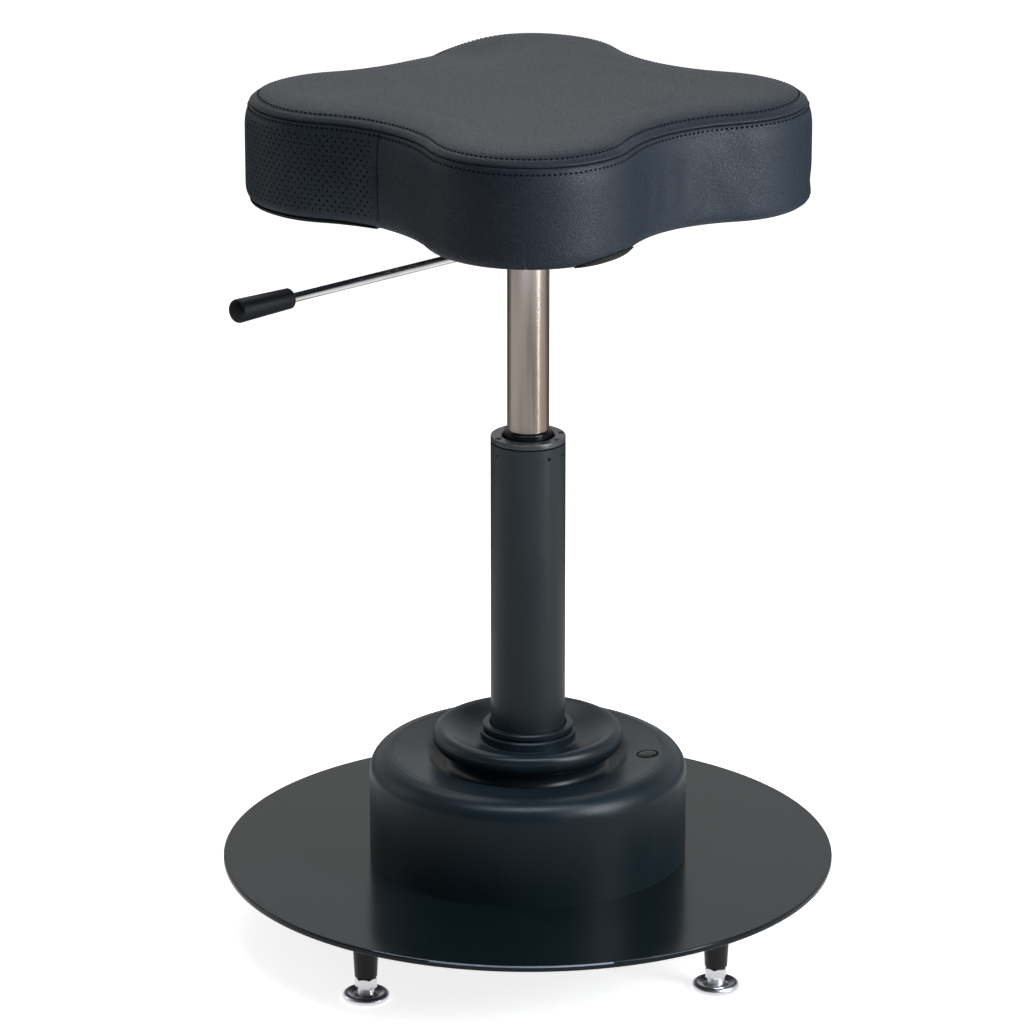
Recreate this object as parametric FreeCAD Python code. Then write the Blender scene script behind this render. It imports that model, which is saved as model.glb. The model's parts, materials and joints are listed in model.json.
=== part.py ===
"""Tilting technician stool with a clover seat, gas lift, release lever and levelling feet.

Millimetres, +Z up. The origin is on the floor, on the axis of the column. +Y points to the back, and
the lever stands out between the front lobe (-Y) and the left lobe (-X) of the seat.
"""

import FreeCAD, Part
import math
import os

ORIGIN = FreeCAD.Vector(0, 0, 0)
EAST = FreeCAD.Vector(1, 0, 0)
NORTH = FreeCAD.Vector(0, 1, 0)
UP = FreeCAD.Vector(0, 0, 1)

# Clearances
running_fit = 0.05          # a shaft that turns or slides in its bore, on the radius
seat_fit = 0.02             # a piece held still in its bore, on the radius
slack = 0.3                 # pieces that only come near each other
hole_slack = 0.4            # a bolt in its through hole, on the radius
overcut = 1.0               # how far a cutting shape passes the face that it cuts

# Levelling feet
foot_count = 4
foot_circle = 164.5
foot_azimuth = 49.3
pad_radius = 15.8
pad_rim_height = 5.2
pad_rim_width = 5.6
pad_groove_height = 3.6
pad_groove_width = 3.4
pad_rim_turn = 120.0
pad_boss_foot_width = 1.0
pad_boss_foot_height = 0.8
pad_boss_radius = 5.4
pad_height = 8.0
rivet_radius = 3.25
rivet_head_radius = 4.8
rivet_head_height = 2.1
rivet_recess = 0.6
hex_flats = 13.0
hex_height = 7.0
thread_radius = 4.0
thread_length = 33.0
sleeve_length = 37.4
sleeve_radius = 8.3
sleeve_tip_radius = 7.5
sleeve_taper_length = 17.0
sleeve_chamfer = 1.0
sleeve_flange_radius = 11.0
sleeve_flange_height = 2.5

# Base disc and drum
disc_radius = 206.5
disc_thickness = 4.0
disc_edge = 0.8
drum_radius = 107.0
drum_height = 72.0
drum_shoulder = 14.0
drum_wall = 3.5
drum_mouth_radius = 69.0
drum_mouth_drop = 2.0
housing_screw_count = 4
housing_screw_azimuth = 0.0
housing_screw_radius = 2.5
housing_screw_head_radius = 4.75
housing_screw_head_height = 2.6
housing_screw_bite = 16.0
housing_boss_wall = 4.2
housing_boss_height = 30.0
vent_azimuth = -5.0
vent_share = 0.5            # of the way from the drum's mouth to its shoulder
vent_length = 13.0
vent_width = 8.0
vent_flange = 1.0
vent_crown = 0.9
vent_stem_tail = 1.0

# Tilt joint
yoke_plate_radius = 80.0
yoke_plate_thickness = 8.0
yoke_bolt_count = 4
yoke_bolt_circle = 68.0
yoke_bolt_azimuth = 45.0
yoke_bolt_radius = 4.0
yoke_bolt_flats = 13.0
yoke_bolt_head = 5.3
yoke_bolt_tail = 1.5
yoke_nut_height = 6.5
pivot_height = 30.0
ear_inner = 22.0
ear_thickness = 12.0
ear_radius = 12.0
trunnion_radius = 6.0
bush_wall = 2.0
cross_height = 20.0
cross_slack = 0.5
hub_lift = 5.0
hub_flange_radius = 58.0
hub_flange_thickness = 6.0
hub_socket_wall = 6.0
hub_screw_count = 3
hub_screw_azimuth = 90.0
hub_screw_radius = 3.0
hub_screw_length = 8.0
hub_screw_height = 14.0
buffer_inner = 41.0
buffer_thickness = 14.0

# Rubber bellows, heights above the disc
boot_wall = 2.5
boot_bead_width = 7.0
boot_bead_height = 5.5
boot_valley_radius = 60.0
boot_valley_height = 62.5
boot_neck_radius = 50.0
boot_neck_height = 60.5
boot_neck_round = 3.0
boot_rim_radius = 64.3
boot_rim_height = 84.0
boot_rim_under = 11.0
boot_rim_top = 5.5
boot_dish_height = 80.5
boot_collar_radius = 32.0
boot_collar_height = 7.0
boot_groove = 0.7
boot_groove_depth = 1.6
boot_lip_radius = 30.4
boot_lip_height = 4.3
ring_thickness = 3.0
ring_width = 23.0
ring_screw_count = 4
ring_screw_azimuth = 45.0
ring_screw_outset = 15.0    # from the drum's mouth
ring_screw_radius = 2.0
ring_screw_head_radius = 3.8
ring_screw_head_height = 2.4
ring_screw_bite = 4.5
ring_boss_wall = 3.0

# Column and swivel bearing
column_radius = 25.0
column_wall = 2.0
column_length = 237.5
end_plate_height = 9.0
end_plate_thickness = 4.0
race_thickness = 2.0
race_outer = 15.0
ball_radius = 2.5
ball_circle = 10.6
ball_count = 9
ball_slack = 0.1
cage_thickness = 2.0
bump_height = 17.0
bump_radius = 18.0
clip_thickness = 1.2
clip_radius = 8.0
clip_groove = 1.0
rod_tail = 3.0
bush_length = 75.0
bush_flange = 4.5
bush_mouth = 1.2
notch_pair_count = 3
notch_azimuth = -13.0
notch_spread = 21.0
notch_length = 4.5
notch_width = 1.8
notch_depth = 1.4
notch_edge = 0.9
dimple_azimuth = -41.0
dimple_spread = 15.0
dimple_drop = 6.5
dimple_radius = 1.6
dimple_floor_radius = 0.5
dimple_depth = 0.8

# Gas spring
rod_radius = 5.0
rod_step = 1.0
cylinder_radius = 14.0
cylinder_wall = 1.2
cylinder_length = 239.0
cylinder_exposed = 122.0
cylinder_cap = 17.0
taper_length = 27.0
taper_drop = 0.7
rod_guide_length = 12.0
piston_height = 10.0
piston_above_guide = 44.0
piston_seal_height = 3.0
piston_seal_depth = 1.6
piston_head = 2.0
valve_radius = 3.0
valve_stand = 7.5
valve_length = 30.0
valve_dome = 1.2

# Lever and seat bracket, along the lever's own direction
lever_azimuth = 225.0
lever_drop = 14.0
lever_radius = 3.1
lever_pivot = 36.0
lever_pivot_drop = 4.0
lever_pin_radius = 3.0
lever_pin_head = 1.5
lever_pin_head_radius = 4.5
cam_width = 14.0
cam_outer = 56.0
cam_inner = 24.0
cam_floor = 1.4
cam_rear_top = 2.0
cam_tongue = 3.2
cam_tongue_reach = 5.0
cam_rise = 44.0
lever_end = 250.0
lever_rise = 0.9            # upward slope of the rod, in degrees
lever_depth = 18.0
grip_start = 209.0
grip_end = 260.0
grip_small_radius = 6.65
grip_large_radius = 7.65
grip_round = 2.0
taper_tube_wall = 4.0
taper_tube_length = 26.0
bracket_wall = 2.5
bracket_height = 29.0
bracket_back = 40.0
bracket_front = 58.0
bracket_floor_front = 22.0
bracket_side_slack = 1.0
plate_headroom = 12.0
plate_side = 150.0
plate_thickness = 3.0
plate_corner = 12.0
plate_bolt_count = 4
plate_bolt_offset = 58.0
plate_bolt_radius = 3.0
plate_bolt_flats = 10.0
plate_bolt_head = 4.0
plate_washer_radius = 7.0
plate_washer_thickness = 1.2
tee_flange_radius = 9.0
tee_flange_thickness = 1.4
tee_wall = 1.3

# Seat
lobe_reach = 185.0
lobe_radius = 70.0
notch_inward = 20.2         # how far a notch lies inside the line that touches two lobes
dust_thickness = 0.8
dust_gap = 2.0
cover_thickness = 1.0
cover_turn_under = 26.0
board_thickness = 10.0
band_height = 66.2
band_round = 7.5
band_shoulder = 24.0
seam_inset = 7.5
seam_gap = 0.3
lip_height = 1.5
lip_bulge = 0.8
top_rise = 7.3
top_inward = 48.0
top_crown = 1.6
crown_rings = ((0.6, 0.7), (0.2, 1.0))     # share of the outline, share of the crown
vent_panel_azimuth = 180.0

# Heights that follow
hex_bottom = pad_height + slack
hex_top = hex_bottom + hex_height
sleeve_bottom = hex_top + slack
disc_bottom = sleeve_bottom + sleeve_length
disc_top = disc_bottom + disc_thickness
yoke_top = disc_top + yoke_plate_thickness
pivot_z = disc_top + pivot_height
hub_bottom = pivot_z + ear_radius + hub_lift
column_bottom = hub_bottom + hub_flange_thickness
column_top = column_bottom + column_length
bush_top = column_top + bush_flange
end_plate_bottom = column_bottom + end_plate_height
end_plate_top = end_plate_bottom + end_plate_thickness
ball_z = end_plate_top + race_thickness + ball_slack + ball_radius
race_upper_bottom = ball_z + ball_radius + ball_slack
race_upper_top = race_upper_bottom + race_thickness
clip_top = end_plate_bottom - slack
rod_bottom = clip_top - clip_thickness - rod_tail
taper_bottom = bush_top + cylinder_exposed
cylinder_top = taper_bottom + taper_length
cylinder_bottom = cylinder_top - cylinder_length
piston_bottom = cylinder_bottom + rod_guide_length + piston_above_guide
valve_top = cylinder_top + valve_stand
lever_z = cylinder_top - lever_drop
lever_pivot_z = cylinder_top - lever_pivot_drop
plate_bottom = cylinder_top + plate_headroom
plate_top = plate_bottom + plate_thickness
board_bottom = plate_top + dust_thickness
board_top = board_bottom + board_thickness
cushion_bottom = board_bottom - cover_thickness
seam_z = cushion_bottom + band_height

# Widths that follow
vent_circle = drum_mouth_radius + vent_share * (drum_radius - drum_shoulder - drum_mouth_radius)
ring_screw_circle = drum_mouth_radius + ring_screw_outset
ear_outer = ear_inner + ear_thickness
cylinder_bore = cylinder_radius - cylinder_wall
column_bore = column_radius - column_wall
rod_stub_radius = rod_radius - rod_step
taper_tube_radius = cylinder_radius + taper_tube_wall
bracket_inner = taper_tube_radius + bracket_side_slack
bracket_outer = bracket_inner + bracket_wall


def bow(centre, radius, start, end):
    """Middle and end point of an arc about a centre in the (r, z) plane, angles in degrees."""
    points = []
    for angle in (0.5 * (start + end), end):
        turn = math.radians(angle)
        points.append((centre[0] + radius * math.cos(turn), centre[1] + radius * math.sin(turn)))
    return tuple(points)


def turned(*steps):
    """Solid of revolution about Z. A step is an (r, z) point, or the middle and end of an arc."""
    edges = []
    here = steps[0]
    for step in steps[1:] + steps[:1]:
        start = FreeCAD.Vector(here[0], 0, here[1])
        if isinstance(step[0], tuple):
            middle, there = step
            on_arc = FreeCAD.Vector(middle[0], 0, middle[1])
            end = FreeCAD.Vector(there[0], 0, there[1])
            edges.append(Part.Arc(start, on_arc, end).toShape())
        else:
            there = step
            edges.append(Part.makeLine(start, FreeCAD.Vector(there[0], 0, there[1])))
        here = there
    return Part.Face(Part.Wire(edges)).revolve(ORIGIN, UP, 360)


def cylinder(radius, bottom, top):
    """Upright cylinder on the axis between two heights."""
    return Part.makeCylinder(radius, top - bottom, FreeCAD.Vector(0, 0, bottom))


def ring(inner, outer, bottom, top):
    """Upright ring on the axis between two heights."""
    return cylinder(outer, bottom, top).cut(cylinder(inner, bottom - overcut, top + overcut))


def cross_bar(radius, near, far, height, direction):
    """Cylinder along a horizontal direction between two distances from the axis."""
    start = direction * near + UP * height
    return Part.makeCylinder(radius, far - near, start, direction)


def box(x, y, z):
    """Box between pairs of coordinates."""
    return Part.makeBox(x[1] - x[0], y[1] - y[0], z[1] - z[0], FreeCAD.Vector(x[0], y[0], z[0]))


def hexagon(flats, bottom, top):
    """Upright hexagonal prism on the axis."""
    corner = flats / math.sqrt(3)
    points = []
    for k in range(7):
        turn = math.radians(60 * k)
        points.append(FreeCAD.Vector(corner * math.cos(turn), corner * math.sin(turn), bottom))
    return Part.Face(Part.makePolygon(points)).extrude(UP * (top - bottom))


def set_out(shape, radius, azimuth):
    """Copy of a shape moved out from the axis to a radius and azimuth, and turned with it."""
    return shape.translated(EAST * radius).rotated(ORIGIN, UP, azimuth)


def round_pattern(shape, count, radius, azimuth):
    """Copies of a shape, evenly spaced on a circle."""
    return [set_out(shape, radius, azimuth + 360.0 * k / count) for k in range(count)]


def opposite(shape):
    """A shape and its copy on the other side of the axis."""
    return [shape, shape.rotated(ORIGIN, UP, 180)]


def to_lever(shape):
    """Shape drawn with the lever along +X, turned to the lever's azimuth."""
    return shape.rotated(ORIGIN, UP, lever_azimuth)


def levelling_feet():
    """Threaded sleeves under the disc, and one glide pad and one screw per foot."""
    rim_r = pad_radius - 0.5 * pad_rim_width
    rim_half = 0.5 * pad_rim_width
    groove_r = pad_radius - pad_rim_width - 0.5 * pad_groove_width
    pad_bore = rivet_radius + running_fit
    recess = rivet_head_radius + slack
    recess_top = rivet_recess + rivet_head_height + slack
    side_z = pad_rim_height - rim_half
    pad = turned(
        (recess, 0),
        (pad_radius - side_z, 0),
        bow((pad_radius - side_z, side_z), side_z, -90, 0),
        bow((rim_r, side_z), rim_half, 0, pad_rim_turn),
        (groove_r, pad_groove_height),
        (pad_boss_radius + pad_boss_foot_width, pad_groove_height + pad_boss_foot_height),
        (pad_boss_radius, pad_height),
        (pad_bore, pad_height),
        (pad_bore, recess_top),
        (recess, recess_top),
    )
    hex_head = hexagon(hex_flats, hex_bottom, hex_top)
    corner = hex_flats / math.sqrt(3)
    edge = corner - 0.5 * hex_flats
    hex_limit = turned(
        (0, hex_bottom),
        (corner - edge, hex_bottom),
        (corner, hex_bottom + 0.5 * edge),
        (corner, hex_top - 0.5 * edge),
        (corner - edge, hex_top),
        (0, hex_top),
    )
    screw = hex_head.common(hex_limit).fuse(
        [
            cylinder(thread_radius, hex_top, hex_top + thread_length),
            cylinder(rivet_radius, rivet_recess, hex_bottom),
            cylinder(rivet_head_radius, rivet_recess, rivet_recess + rivet_head_height),
        ]
    )
    taper_top = sleeve_bottom + sleeve_taper_length
    flange_bottom = disc_bottom - sleeve_flange_height
    thread_bore = thread_radius + running_fit
    sleeve = turned(
        (thread_bore, sleeve_bottom),
        (sleeve_tip_radius - sleeve_chamfer, sleeve_bottom),
        (sleeve_tip_radius, sleeve_bottom + sleeve_chamfer),
        (sleeve_radius, taper_top),
        (sleeve_radius, flange_bottom),
        (sleeve_flange_radius, flange_bottom),
        (sleeve_flange_radius, disc_bottom),
        (thread_bore, disc_bottom),
    )
    nodes = {"foot_sleeves": Part.makeCompound(round_pattern(sleeve, foot_count, foot_circle, foot_azimuth))}
    pads = round_pattern(pad, foot_count, foot_circle, foot_azimuth)
    screws = round_pattern(screw, foot_count, foot_circle, foot_azimuth)
    for k in range(foot_count):
        nodes[f"foot_pad_{k + 1}"] = pads[k]
        nodes[f"foot_screw_{k + 1}"] = screws[k]
    return nodes


def drum_top(radius):
    """Height of the drum's sloping top at a radius between its mouth and its shoulder."""
    crest_r = drum_radius - drum_shoulder
    share = (radius - drum_mouth_radius) / (crest_r - drum_mouth_radius)
    return disc_top + drum_height - drum_mouth_drop * (1 - share)


def stadium(length, width, bottom, top):
    """Upright prism with two straight sides and two round ends, long along Y."""
    half = 0.5 * (length - width)
    ends = [Part.makeCylinder(0.5 * width, top - bottom, FreeCAD.Vector(0, y, bottom)) for y in (-half, half)]
    middle = box((-0.5 * width, 0.5 * width), (-half, half), (bottom, top))
    return middle.fuse(ends).removeSplitter()


def base():
    """Disc, drum, its screws and its vent plug."""
    housing_screw_circle = drum_radius - drum_wall - housing_screw_radius - housing_boss_wall
    screw_hole = cylinder(housing_screw_radius + hole_slack, disc_bottom - overcut, disc_top + overcut)
    bolt_hole = cylinder(yoke_bolt_radius + hole_slack, disc_bottom - overcut, disc_top + overcut)
    disc = turned(
        (0, disc_bottom),
        (disc_radius - disc_edge, disc_bottom),
        (disc_radius, disc_bottom + disc_edge),
        (disc_radius, disc_top - disc_edge),
        (disc_radius - disc_edge, disc_top),
        (0, disc_top),
    )
    disc = disc.cut(
        round_pattern(screw_hole, housing_screw_count, housing_screw_circle, housing_screw_azimuth)
        + round_pattern(bolt_hole, yoke_bolt_count, yoke_bolt_circle, yoke_bolt_azimuth)
    )

    crest_r = drum_radius - drum_shoulder
    crest_z = disc_top + drum_height
    mouth_z = crest_z - drum_mouth_drop
    centre = (crest_r, crest_z - drum_shoulder)
    drum = turned(
        (drum_radius, disc_top),
        (drum_radius, crest_z - drum_shoulder),
        bow(centre, drum_shoulder, 0, 90),
        (drum_mouth_radius, mouth_z),
        (drum_mouth_radius, mouth_z - drum_wall),
        (crest_r, crest_z - drum_wall),
        bow(centre, drum_shoulder - drum_wall, 90, 0),
        (drum_radius - drum_wall, disc_top),
    )
    boss = cylinder(housing_screw_radius + housing_boss_wall, disc_top, disc_top + housing_boss_height)
    boss_arm = box((0, housing_boss_wall + housing_screw_radius + 0.5 * drum_wall),
                   (-housing_boss_wall, housing_boss_wall), (disc_top, disc_top + housing_boss_height))
    boss_hole = cylinder(housing_screw_radius + seat_fit, disc_top - overcut,
                         disc_top + housing_screw_bite + overcut)
    ring_post = cylinder(ring_screw_radius + ring_boss_wall, ring_top(),
                         drum_top(ring_screw_circle) - 0.5 * drum_wall)
    ring_hole = cylinder(ring_screw_radius + seat_fit, ring_top() - overcut, ring_top() + ring_screw_bite)
    drum = drum.fuse(
        round_pattern(boss.fuse(boss_arm), housing_screw_count, housing_screw_circle, housing_screw_azimuth)
        + round_pattern(ring_post, ring_screw_count, ring_screw_circle, ring_screw_azimuth)
    )
    vent_z = drum_top(vent_circle)
    vent_hole_length = vent_length - 2 * vent_flange
    vent_hole_width = vent_width - 2 * vent_flange
    vent_hole = stadium(vent_hole_length, vent_hole_width, vent_z - 2 * drum_wall, vent_z + drum_wall)
    drum = drum.cut(
        round_pattern(boss_hole, housing_screw_count, housing_screw_circle, housing_screw_azimuth)
        + round_pattern(ring_hole, ring_screw_count, ring_screw_circle, ring_screw_azimuth)
        + [set_out(vent_hole, vent_circle, vent_azimuth)]
    )

    vent_head = stadium(vent_length, vent_width, vent_z + 0.5 * slack, vent_z + vent_crown)
    vent_stem = stadium(vent_hole_length - 2 * slack, vent_hole_width - 2 * slack,
                        vent_z - drum_wall - vent_stem_tail, vent_z + vent_crown)
    slope = math.degrees(math.atan2(drum_mouth_drop, crest_r - drum_mouth_radius))
    plug = vent_head.fuse(vent_stem).rotated(FreeCAD.Vector(0, 0, vent_z), NORTH, -slope)

    screw = cylinder(housing_screw_radius, disc_bottom, disc_top + housing_screw_bite).fuse(
        cylinder(housing_screw_head_radius, disc_bottom - housing_screw_head_height, disc_bottom)
    )
    screws = round_pattern(screw, housing_screw_count, housing_screw_circle, housing_screw_azimuth)
    return {
        "base_disc": disc,
        "drum_housing": drum,
        "vent_plug": set_out(plug, vent_circle, vent_azimuth),
        "housing_screws": Part.makeCompound(screws),
    }


def bead_top():
    """Height of the bellows' bead, just under the drum's lip."""
    return disc_top + drum_height - drum_mouth_drop - drum_wall - slack


def ring_top():
    """Height of the ring that holds the bead."""
    return bead_top() - boot_bead_height - slack


def boot():
    """Rubber bellows, the ring that holds it under the drum's lip, and that ring's screws."""
    edge = drum_mouth_radius - slack
    lip_z = disc_top + drum_height - drum_mouth_drop
    neck = boot_neck_radius
    inner_neck = neck - boot_wall
    neck_z = disc_top + boot_neck_height
    valley_z = disc_top + boot_valley_height
    rim_z = disc_top + boot_rim_height
    under = (boot_rim_radius - boot_rim_under, rim_z)
    over = (boot_rim_radius - boot_rim_top, rim_z)
    dish_z = disc_top + boot_dish_height
    collar_z = dish_z + boot_collar_height
    lip_bottom = collar_z + boot_groove
    bore = column_radius + slack
    valley_mid = (0.5 * (edge + boot_valley_radius), 0.5 * (lip_z + valley_z) - boot_wall)
    bead_outer = drum_mouth_radius + boot_bead_width
    bellows = turned(
        (edge, bead_top()),
        (edge, lip_z),
        (valley_mid, (boot_valley_radius, valley_z)),
        (neck + boot_neck_round, neck_z),
        bow((neck + boot_neck_round, neck_z + boot_neck_round), boot_neck_round, 270, 180),
        (neck, rim_z - boot_rim_under),
        (under[0], rim_z - boot_rim_under),
        bow(under, boot_rim_under, -90, 0),
        bow(over, boot_rim_top, 0, 90),
        (boot_collar_radius, dish_z),
        (boot_collar_radius, collar_z),
        (boot_lip_radius - boot_groove_depth, collar_z),
        (boot_lip_radius - boot_groove_depth, lip_bottom),
        (boot_lip_radius, lip_bottom),
        (boot_lip_radius, lip_bottom + boot_lip_height),
        (bore, lip_bottom + boot_lip_height),
        (bore, dish_z - boot_wall),
        (boot_collar_radius, dish_z - boot_wall),
        (over[0], rim_z + boot_rim_top - boot_wall),
        bow(over, boot_rim_top - boot_wall, 90, 0),
        bow(under, boot_rim_under - boot_wall, 0, -90),
        (inner_neck, rim_z - boot_rim_under + boot_wall),
        (inner_neck, neck_z + boot_neck_round),
        (neck + boot_neck_round, neck_z - boot_wall),
        (boot_valley_radius, valley_z - boot_wall),
        (edge - boot_wall, ring_top() + slack),
        (bead_outer, ring_top() + slack),
        (bead_outer, bead_top()),
    )
    ring_inner = edge - boot_wall
    ring_bottom = ring_top() - ring_thickness
    clamp = ring(ring_inner, ring_inner + ring_width, ring_bottom, ring_top())
    hole = cylinder(ring_screw_radius + hole_slack, ring_bottom - overcut, ring_top() + overcut)
    clamp = clamp.cut(round_pattern(hole, ring_screw_count, ring_screw_circle, ring_screw_azimuth))
    screw = cylinder(ring_screw_radius, ring_bottom, ring_top() + ring_screw_bite - slack).fuse(
        cylinder(ring_screw_head_radius, ring_bottom - ring_screw_head_height, ring_bottom)
    )
    screws = round_pattern(screw, ring_screw_count, ring_screw_circle, ring_screw_azimuth)
    return {"bellows_boot": bellows, "boot_ring": clamp, "ring_screws": Part.makeCompound(screws)}


def ear_pair(direction, root_z):
    """Two round-ended ears across a horizontal direction, from the pivot to a plate, with bush holes."""
    low, high = sorted((pivot_z, root_z))
    post = box((-ear_radius, ear_radius), (ear_inner, ear_outer), (low, high))
    if direction is EAST:
        post = post.rotated(ORIGIN, UP, -90)
    eye = cross_bar(ear_radius, ear_inner, ear_outer, pivot_z, direction)
    hole_radius = trunnion_radius + bush_wall + seat_fit
    hole = cross_bar(hole_radius, ear_inner - overcut, ear_outer + overcut, pivot_z, direction)
    return opposite(post.fuse(eye).cut(hole).removeSplitter())


def ear_bushes(direction):
    """Two plain bushes in a pair of ears."""
    sleeve = cross_bar(trunnion_radius + bush_wall, ear_inner, ear_outer, pivot_z, direction)
    bore_radius = trunnion_radius + running_fit
    bore = cross_bar(bore_radius, ear_inner - overcut, ear_outer + overcut, pivot_z, direction)
    return Part.makeCompound(opposite(sleeve.cut(bore)))


def tilt_joint():
    """Lower fork on the disc, cross, upper fork with the column's socket, and the rubber ring."""
    bolt_hole = cylinder(yoke_bolt_radius + hole_slack, disc_top - overcut, yoke_top + overcut)
    plate = cylinder(yoke_plate_radius, disc_top, yoke_top)
    plate = plate.cut(round_pattern(bolt_hole, yoke_bolt_count, yoke_bolt_circle, yoke_bolt_azimuth))
    yoke = plate.fuse(ear_pair(EAST, yoke_top)).removeSplitter()
    bolt = cylinder(yoke_bolt_radius, disc_bottom - yoke_nut_height - yoke_bolt_tail, yoke_top).fuse(
        hexagon(yoke_bolt_flats, yoke_top, yoke_top + yoke_bolt_head)
    )
    nut = hexagon(yoke_bolt_flats, disc_bottom - yoke_nut_height, disc_bottom).cut(
        cylinder(yoke_bolt_radius + seat_fit, disc_bottom - yoke_nut_height - overcut, disc_bottom + overcut)
    )

    half = ear_inner - cross_slack
    half_height = 0.5 * cross_height
    block = box((-half, half), (-half, half), (pivot_z - half_height, pivot_z + half_height))
    arms = [cross_bar(trunnion_radius, -ear_outer, ear_outer, pivot_z, way) for way in (EAST, NORTH)]
    cross = block.fuse(arms).removeSplitter()

    socket_bore = column_radius + seat_fit
    socket_top = disc_top + boot_dish_height - boot_wall - slack
    socket_outer = socket_bore + hub_socket_wall
    socket = ring(socket_bore, socket_outer, column_bottom, socket_top)
    hub = cylinder(hub_flange_radius, hub_bottom, column_bottom).fuse([socket] + ear_pair(NORTH, hub_bottom))
    screw_z = column_bottom + hub_screw_height
    screw_hole = cross_bar(hub_screw_radius + seat_fit, column_radius, socket_outer + overcut, screw_z, EAST)
    screw_start = socket_bore + slack
    screw = cross_bar(hub_screw_radius, screw_start, screw_start + hub_screw_length, screw_z, EAST)
    hub = hub.cut(round_pattern(screw_hole, hub_screw_count, 0, hub_screw_azimuth)).removeSplitter()

    hub_screws = round_pattern(screw, hub_screw_count, 0, hub_screw_azimuth)
    bolts = round_pattern(bolt, yoke_bolt_count, yoke_bolt_circle, yoke_bolt_azimuth)
    nuts = round_pattern(nut, yoke_bolt_count, yoke_bolt_circle, yoke_bolt_azimuth)
    rubber = ring(buffer_inner, buffer_inner + buffer_thickness, yoke_top + slack, hub_bottom - slack)
    return {
        "pivot_yoke": yoke,
        "yoke_bolts": Part.makeCompound(bolts),
        "yoke_nuts": Part.makeCompound(nuts),
        "yoke_bushes": ear_bushes(EAST),
        "pivot_cross": cross,
        "hub_bushes": ear_bushes(NORTH),
        "column_hub": hub,
        "hub_screws": Part.makeCompound(hub_screws),
        "centering_buffer": rubber,
    }


def column():
    """Outer tube, its guide bush, and the thrust bearing that the seat swivels on."""
    tube = ring(column_bore, column_radius, column_bottom, column_top)
    dimple_start = EAST * (column_radius + slack) + UP * (column_top - dimple_drop)
    dimple = Part.makeCone(dimple_radius, dimple_floor_radius, dimple_depth + slack, dimple_start, EAST * -1)
    dimples = []
    for offset in (-dimple_spread, dimple_spread):
        dimples += round_pattern(dimple, notch_pair_count, 0, dimple_azimuth + offset)
    tube = tube.cut(dimples)

    bush_bore = cylinder_radius + running_fit
    bush = turned(
        (bush_bore, column_top - bush_length),
        (column_bore - seat_fit, column_top - bush_length),
        (column_bore - seat_fit, column_top),
        (column_radius, column_top),
        (column_radius, bush_top),
        (bush_bore + bush_mouth, bush_top),
        (bush_bore, bush_top - 2 * bush_mouth),
    )
    notch_outer = column_radius - notch_edge
    notch = box((notch_outer - notch_width, notch_outer), (-0.5 * notch_length, 0.5 * notch_length),
                (bush_top - notch_depth, bush_top + overcut))
    notches = []
    for offset in (-notch_spread, notch_spread):
        notches += round_pattern(notch, notch_pair_count, 0, notch_azimuth + offset)
    bush = bush.cut(notches)

    rod_hole = rod_stub_radius + running_fit
    race_inner = rod_stub_radius + hole_slack
    cage_bottom = ball_z - 0.5 * cage_thickness
    pocket = cylinder(ball_radius + ball_slack, cage_bottom - overcut, cage_bottom + cage_thickness + overcut)
    cage = ring(race_inner + slack, race_outer - slack, cage_bottom, cage_bottom + cage_thickness)
    cage = cage.cut(round_pattern(pocket, ball_count, ball_circle, 0))
    ball = Part.makeSphere(ball_radius, UP * ball_z)
    bump_bottom = race_upper_top + slack
    return {
        "column_tube": tube,
        "guide_bush": bush,
        "end_plate": ring(rod_hole, column_bore - seat_fit, end_plate_bottom, end_plate_top),
        "race_lower": ring(race_inner, race_outer, end_plate_top, end_plate_top + race_thickness),
        "ball_cage": cage,
        "bearing_balls": Part.makeCompound(round_pattern(ball, ball_count, ball_circle, 0)),
        "race_upper": ring(rod_hole, race_outer, race_upper_bottom, race_upper_top),
        "bump_stop": ring(rod_radius + slack, bump_radius, bump_bottom, bump_bottom + bump_height),
    }


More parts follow.
